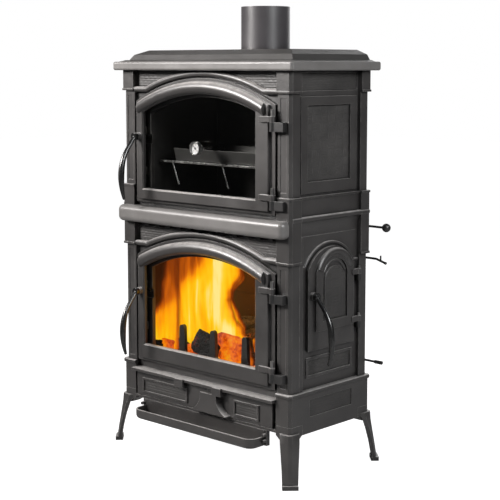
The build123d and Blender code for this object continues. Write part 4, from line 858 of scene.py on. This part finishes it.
def add_flames():
    columns = round(2 * flame_half / flame_step) + 1
    levels = np.arange(flame_foot, flame_head, flame_step)
    for count, depth in enumerate(flame_depths, 1):
        points, heats = [], []
        for up in levels:
            for j in range(columns):
                x = -flame_half + 2 * flame_half * j / (columns - 1)
                ripple = flame_ripple * noise.noise((x * 9.0, depth * 40.0, up * 6.0))
                points.append(place(x, depth + ripple, up))
                fade = min(1.0, (flame_half - abs(x)) / flame_side_fade)
                if depth == flame_depths[0]:
                    fade *= 1.0 - ease(x, *front_flame_end)
                heats.append(heat_at(x, depth, up) * fade)
        faces = [
            face for face in grid_faces(len(levels), columns)
            if max(heats[k] for k in face) > coldest_drawn
        ]
        used = sorted({k for face in faces for k in face})
        order = {k: i for i, k in enumerate(used)}
        faces = [tuple(order[k] for k in face) for face in faces]
        made = piece(f"flame_{count}", [points[k] for k in used], faces, flame)
        heat = made.data.attributes.new("hotness", "FLOAT", "POINT")
        heat.data.foreach_set("value", [heats[k] for k in used])


# Logs: where each starts and ends, its radius, and what varies its bark
logs = {
    "log_rear": ((-0.26, 0.060, 0.330), (0.250, 0.030, 0.336), 0.046, 1.3),
    "log_front_left": ((-0.275, -0.095, 0.302), (-0.120, -0.060, 0.322), 0.024, 2.1),
    "log_front_right": ((0.070, -0.060, 0.306), (0.265, -0.030, 0.316), 0.026, 4.4),
    "log_top": ((-0.170, 0.010, 0.362), (0.130, 0.085, 0.394), 0.030, 3.2),
}
log_rings, log_around = 34, 32
split_sides = 3.0
# Lumps of burnt wood: the middle of each, its size, what varies its shape, finish and tilt
lumps = {
    "ember_block": ((0.030, -0.088, 0.336), (0.124, 0.040, 0.084), 3.0, glowing, -0.24),
    "ember_left": ((-0.214, -0.108, 0.318), (0.056, 0.030, 0.036), 5.0, glowing, 0.0),
    "ember_middle": ((-0.120, -0.106, 0.308), (0.075, 0.034, 0.036), 7.0, glowing, 0.0),
    "char_middle": ((-0.046, -0.118, 0.334), (0.098, 0.026, 0.074), 9.0, charred, -0.45),
    "char_left": ((-0.268, -0.112, 0.312), (0.070, 0.026, 0.024), 11.0, charred, 0.1),
}
lump_rings, lump_around = 14, 24
# Beds of embers and ash: the ends across and in depth, the level that each lies on, its height,
# the step between its points and what varies its shape. Above that level there is a small
# clearance, and a thin border
ember_bed = {
    "x": (-0.285, 0.285), "y": (-0.126, 0.120), "low": 0.282, "height": 0.022, "step": 0.007,
    "seed": 1.0,
}
pan_ash = {
    "x": (-0.256, 0.256), "y": (-0.166, 0.110), "low": 0.1585, "height": 0.020, "step": 0.010,
    "seed": 3.0,
}
bed_clearance, bed_border = 0.0003, 0.001


def log(name, start, end, radius, seed):
    """A split log: ridged bark on its round side, flats where it was split, ragged ends."""
    start, end = place(*start), place(*end)
    along = (end - start).normalized()
    side = along.cross(Vector((0, 0, 1))).normalized()
    over = side.cross(along)
    length = (end - start).length
    points = []
    for i in range(log_rings):
        t = i / (log_rings - 1)
        close = min(1.0, math.sin(math.pi * min(max(t, 0.012), 0.988)) ** 0.22)
        for j in range(log_around):
            angle = 2 * math.pi * j / log_around
            x, y = math.cos(angle), math.sin(angle)
            split = 0.84 + 0.16 * abs(math.cos(angle * split_sides / 2 + seed))
            bark = noise.noise((x * 3.1, y * 3.1 + seed, t * 5.0))
            ridge = noise.noise((x * 9.0, y * 9.0, t * 2.5 + seed))
            r = radius * split * close * (1.0 + 0.16 * bark + 0.10 * ridge)
            ragged = 0.012 * noise.noise((angle, seed, t)) if t in (0, 1) else 0.0
            centre = start + along * (t * length + ragged)
            points.append(centre + side * (r * x) + over * (r * y))
    faces = turned_over(ring_faces(log_rings, log_around))
    last = (log_rings - 1) * log_around
    faces.append(tuple(range(log_around)))
    faces.append(tuple(last + j for j in range(log_around - 1, -1, -1)))
    piece(name, points, faces, charred)


def lump(name, centre, size, seed, material, tilt):
    """A rough block, such as a burnt-through end of a log."""
    centre = place(*centre)
    c, s = math.cos(tilt), math.sin(tilt)
    points = []
    for i in range(lump_rings):
        lift = math.pi * (i + 0.5) / lump_rings
        for j in range(lump_around):
            angle = 2 * math.pi * j / lump_around
            level = math.sin(lift)
            n = Vector((level * math.cos(angle), level * math.sin(angle), -math.cos(lift)))
            square = max(abs(part) for part in n)
            rough = 1.0 + 0.30 * noise.noise(n * 1.9 + Vector((seed, 0, 0)))
            rough += 0.12 * noise.noise(n * 6.0 + Vector((0, seed, 0)))
            p = n * rough / square**0.72
            p = Vector((p.x * size[0], p.y * size[1], p.z * size[2])) / 2
            points.append(centre + Vector((p.x * c - p.z * s, p.y, p.x * s + p.z * c)))
    faces = ring_faces(lump_rings, lump_around)
    last = (lump_rings - 1) * lump_around
    faces.append(tuple(range(lump_around - 1, -1, -1)))
    faces.append(tuple(last + j for j in range(lump_around)))
    piece(name, points, faces, material)


def bed(name, x, y, low, height, step, seed, material, body="root"):
    """A lumpy layer of embers or ash with a flat underside."""
    columns = round((x[1] - x[0]) / step) + 1
    rows = round((y[1] - y[0]) / step) + 1
    top = []
    for i in range(rows):
        for j in range(columns):
            px = x[0] + (x[1] - x[0]) * j / (columns - 1)
            py = y[0] + (y[1] - y[0]) * i / (rows - 1)
            edge = min(px - x[0], x[1] - px, py - y[0], y[1] - py)
            fade = min(1.0, edge / (3 * step))
            coarse = noise.noise((px * 14.0, py * 14.0, seed))
            fine = noise.noise((px * 60.0, py * 60.0, seed + 5.0))
            rise = height * (0.6 + 0.55 * coarse + 0.28 * fine) * fade
            top.append(place(px, py, low + bed_border + max(0.0, rise)))
    points, faces = closed_sheet(
        rows, columns, top, lambda point: Vector((point.x, point.y, low + bed_clearance))
    )
    piece(name, points, faces, material, body=body)


def add_fire():
    bed("ember_bed", **ember_bed, material=embers)
    for name, made in logs.items():
        log(name, *made)
    for name, made in lumps.items():
        lump(name, *made)
    bed("pan_ash", **pan_ash, material=ash_grey, body="ash_drawer")


# Sealing ropes: each lies along an arched route behind its door
rope_radius = 0.0036
rope_around = 10
rope_step = 0.003
front_rope = {"half": 0.280, "radius": 0.604}
front_rope_above_foot = 0.008
front_rope_out = 0.1671
side_rope = {"half": 0.096, "foot": 0.384, "centre": 0.553, "radius": 0.110}
side_rope_out, side_rope_middle = 0.3393, 0.006


def arched_route(half, foot, centre, radius):
    """A closed route with upright sides and a round head, as points across and up."""
    head = centre + math.sqrt(radius**2 - half**2)
    route = []
    for (x0, z0), (x1, z1) in (((-half, foot), (half, foot)), ((half, foot), (half, head))):
        count = max(2, round(math.hypot(x1 - x0, z1 - z0) / rope_step))
        shares = [i / count for i in range(count)]
        route += [(x0 + (x1 - x0) * share, z0 + (z1 - z0) * share) for share in shares]
    start = math.acos(half / radius)
    stop = math.pi - start
    count = max(2, round(radius * (stop - start) / rope_step))
    for i in range(count):
        angle = start + (stop - start) * i / count
        route.append((radius * math.cos(angle), centre + radius * math.sin(angle)))
    count = max(2, round((head - foot) / rope_step))
    route += [(-half, head + (foot - head) * i / count) for i in range(count)]
    return route


def rope_ring(name, route, wall, body, node):
    """A braided rope that follows a closed route on a wall, in place of its plain solid."""
    points = []
    count = len(route)
    for i, (across, up) in enumerate(route):
        ahead, behind = route[(i + 1) % count], route[i - 1]
        along = Vector((ahead[0] - behind[0], ahead[1] - behind[1])).normalized()
        aside = Vector((along.y, -along.x))
        for j in range(rope_around):
            angle = 2 * math.pi * j / rope_around
            braid = math.sin(2 * angle + 0.9 * i) * math.sin(2 * angle - 0.9 * i)
            r = rope_radius * (0.93 + 0.07 * braid)
            a = across + aside.x * r * math.cos(angle)
            u = up + aside.y * r * math.cos(angle)
            points.append(wall(a, u, r * math.sin(angle)))
    faces = ring_faces(count, rope_around)
    last = (count - 1) * rope_around
    for j in range(rope_around):
        k = (j + 1) % rope_around
        faces.append((last + j, last + k, k, j))
    rope = finishes["seal_rope"]
    ring = piece(name, points, turned_over(faces), rope, body)
    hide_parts(node)


def add_gaskets():
    for name, door in doors.items():
        foot = door["foot"] + front_rope_above_foot
        route = arched_route(foot=foot, centre=door["centre"], **front_rope)
        body = f"{name}_door"
        rope_ring(
            f"{body}_rope", route, lambda a, u, o: place(a, -(front_rope_out + o), u),
            body, f"{body}_gasket",
        )
    rope_ring(
        "side_door_rope", arched_route(**side_rope),
        lambda a, u, o: place(side_rope_out + o, side_rope_middle + a, u),
        "side_door", "side_door_gasket",
    )


# Screws of the glass clips: two on each side of a window, two above it and two below. A slot's
# half width is a share of the head's radius, and its depth a share of the head's height
screw_radius, screw_height = 0.0036, 0.0018
screw_profile = ((0.0, 1.0), (0.45, 0.96), (0.8, 0.8), (1.0, 0.45), (1.0, 0.0))
screw_around = 20
screw_slot, screw_slot_depth = 0.16, 0.45
clip_face = 0.1658
clip_sides, clip_shares = (-0.2645, 0.2325), (0.2, 0.6)
clip_across = (-0.15, 0.15)
glass_below_sill, glass_radius = 0.009, 0.574
clip_past_glass = 0.0055


def screw_head(centre, out, turn):
    """A slotted pan head: its points and faces."""
    across = out.orthogonal().normalized()
    over = out.cross(across)
    points = []
    for share, lift in screw_profile:
        for j in range(screw_around):
            angle = 2 * math.pi * j / screw_around
            r = screw_radius * share
            x, y = r * math.cos(angle), r * math.sin(angle)
            in_slot = abs(x * math.cos(turn) + y * math.sin(turn)) < screw_slot * screw_radius
            sunk = screw_slot_depth if in_slot and lift > 0.5 else 0.0
            points.append(centre + across * x + over * y + out * screw_height * (lift - sunk))
    rings = len(screw_profile)
    faces = ring_faces(rings, screw_around)
    faces.append(tuple((rings - 1) * screw_around + j for j in range(screw_around)))
    return points, turned_over(faces)


def clip_places(door):
    """Where the clips of one door's window are screwed on, across and up."""
    low = door["sill"] - glass_below_sill
    top = door["centre"] + glass_radius
    spots = [(x, low + share * (top - low)) for x in clip_sides for share in clip_shares]
    spots += [(x, low - clip_past_glass) for x in clip_across]
    reach = glass_radius + clip_past_glass
    for x in clip_across:
        tilt = math.acos(x / glass_radius)
        spots.append((reach * math.cos(tilt), door["centre"] + reach * math.sin(tilt)))
    return spots


def add_screws():
    rng = random.Random(4)
    inward = Vector((0, 1, 0))
    for name, door in doors.items():
        body = f"{name}_door"
        points, faces = [], []
        for x, up in clip_places(door):
            head = screw_head(place(x, -clip_face, up), inward, rng.uniform(0, 3))
            faces += [tuple(k + len(points) for k in face) for face in head[1]]
            points += head[0]
        steel = finishes["bare_steel"]
        piece(f"{body}_clip_screws", points, faces, steel, body, smooth=False)


# Thermometer dial: its printed face, marks and figures, set in the case
case_low, case_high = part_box("thermometer_case")
dial_centre = (case_low + case_high) / 2
dial_sunk, dial_radius = 0.005, 0.0172
dial_around = 48
print_height, mark_height, figure_height = 0.0002, 0.00024, 0.00022
dial_sweep = math.radians(270)
dial_marks, marks_to_figure = 25, 6
mark_end = 0.0163
# The start and the half width of a long mark and of a short one
long_mark, short_mark = (0.0125, 0.00035), (0.0142, 0.00018)
dial_figures = (0, 100, 200, 300, 400)
figure_size, figure_radius, figure_thickness = 0.0042, 0.0102, 0.00002
# The faces of a flat block, whose corners go round its back and then round its front
block_faces = ((3, 2, 1, 0), (4, 5, 6, 7), (0, 1, 5, 4), (1, 2, 6, 5), (2, 3, 7, 6), (3, 0, 4, 7))


def dial_spot(r, angle, proud):
    """A point on the dial, clockwise from its top."""
    x, z = dial_centre.x + r * math.sin(angle), dial_centre.z + r * math.cos(angle)
    return Vector((x, case_low.y + dial_sunk - proud, z))


def add_dial_face():
    rings = ((0.0001, print_height), (dial_radius, print_height), (dial_radius, 0.0))
    points = []
    for r, proud in rings:
        for j in range(dial_around):
            points.append(dial_spot(r, -2 * math.pi * j / dial_around, proud))
    faces = ring_faces(len(rings), dial_around)
    faces.append(tuple(range(dial_around - 1, -1, -1)))
    faces.append(tuple(2 * dial_around + j for j in range(dial_around)))
    faces = turned_over(faces)
    piece("dial_face", points, faces, dial_white, "oven_door", smooth=False)


def add_dial_marks():
    points, faces = [], []
    for i in range(dial_marks):
        angle = dial_sweep * (i / (dial_marks - 1) - 0.5)
        start, wide = long_mark if i % marks_to_figure == 0 else short_mark
        aside = Vector((math.cos(angle), 0, -math.sin(angle)))
        first = len(points)
        for proud in (print_height, mark_height):
            for r, shift in ((start, -wide), (mark_end, -wide), (mark_end, wide), (start, wide)):
                points.append(dial_spot(r, angle, proud) + aside * shift)
        faces += [tuple(first + k for k in face) for face in block_faces]
    piece("dial_marks", points, faces, dial_ink, "oven_door", smooth=False)


def add_dial_figures():
    for i, figure in enumerate(dial_figures):
        name = f"dial_figure_{figure}"
        curve = bpy.data.curves.new(name, "FONT")
        curve.body = str(figure)
        curve.size = figure_size
        curve.align_x = "CENTER"
        curve.align_y = "CENTER"
        curve.extrude = figure_thickness
        curve.materials.append(dial_ink)
        made = bpy.data.objects.new(name, curve)
        scene.collection.objects.link(made)
        angle = dial_sweep * (i / (len(dial_figures) - 1) - 0.5)
        made.location = dial_spot(figure_radius, angle, figure_height)
        made.rotation_euler = (math.pi / 2, 0, 0)
        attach(made, "oven_door")


# Floor, which looks nearly white to the camera and lights the stove as a grey one does
floor_half = 14.0
floor_greys = (0.42, 0.42, 0.42), (0.45, 0.45, 0.45)
floor_glow = 0.98


def add_floor():
    mesh = bpy.data.meshes.new("floor")
    signs = ((-1, -1), (1, -1), (1, 1), (-1, 1))
    corners = [(x * floor_half, y * floor_half, 0.0) for x, y in signs]
    mesh.from_pydata(corners, [], [(0, 1, 2, 3)])
    floor = bpy.data.objects.new("floor", mesh)
    scene.collection.objects.link(floor)
    s = Shader("pale_floor")
    seen = s.node("ShaderNodeLightPath").outputs["Is Camera Ray"]
    material = s.solid(
        Base_Color=s.mix(s.noise(3.0, 2.0, 0.5), *floor_greys),
        Roughness=1.0,
        Emission_Color=(1.0, 1.0, 1.0, 1.0),
        Emission_Strength=s.span(seen, 0.0, 1.0, 0.0, floor_glow),
    )
    mesh.materials.append(material)


add_camera()
add_lights()
add_world()
dress_frame()
add_reliefs()
add_flames()
add_fire()
add_gaskets()
add_screws()
add_dial_face()
add_dial_marks()
add_dial_figures()
add_floor()
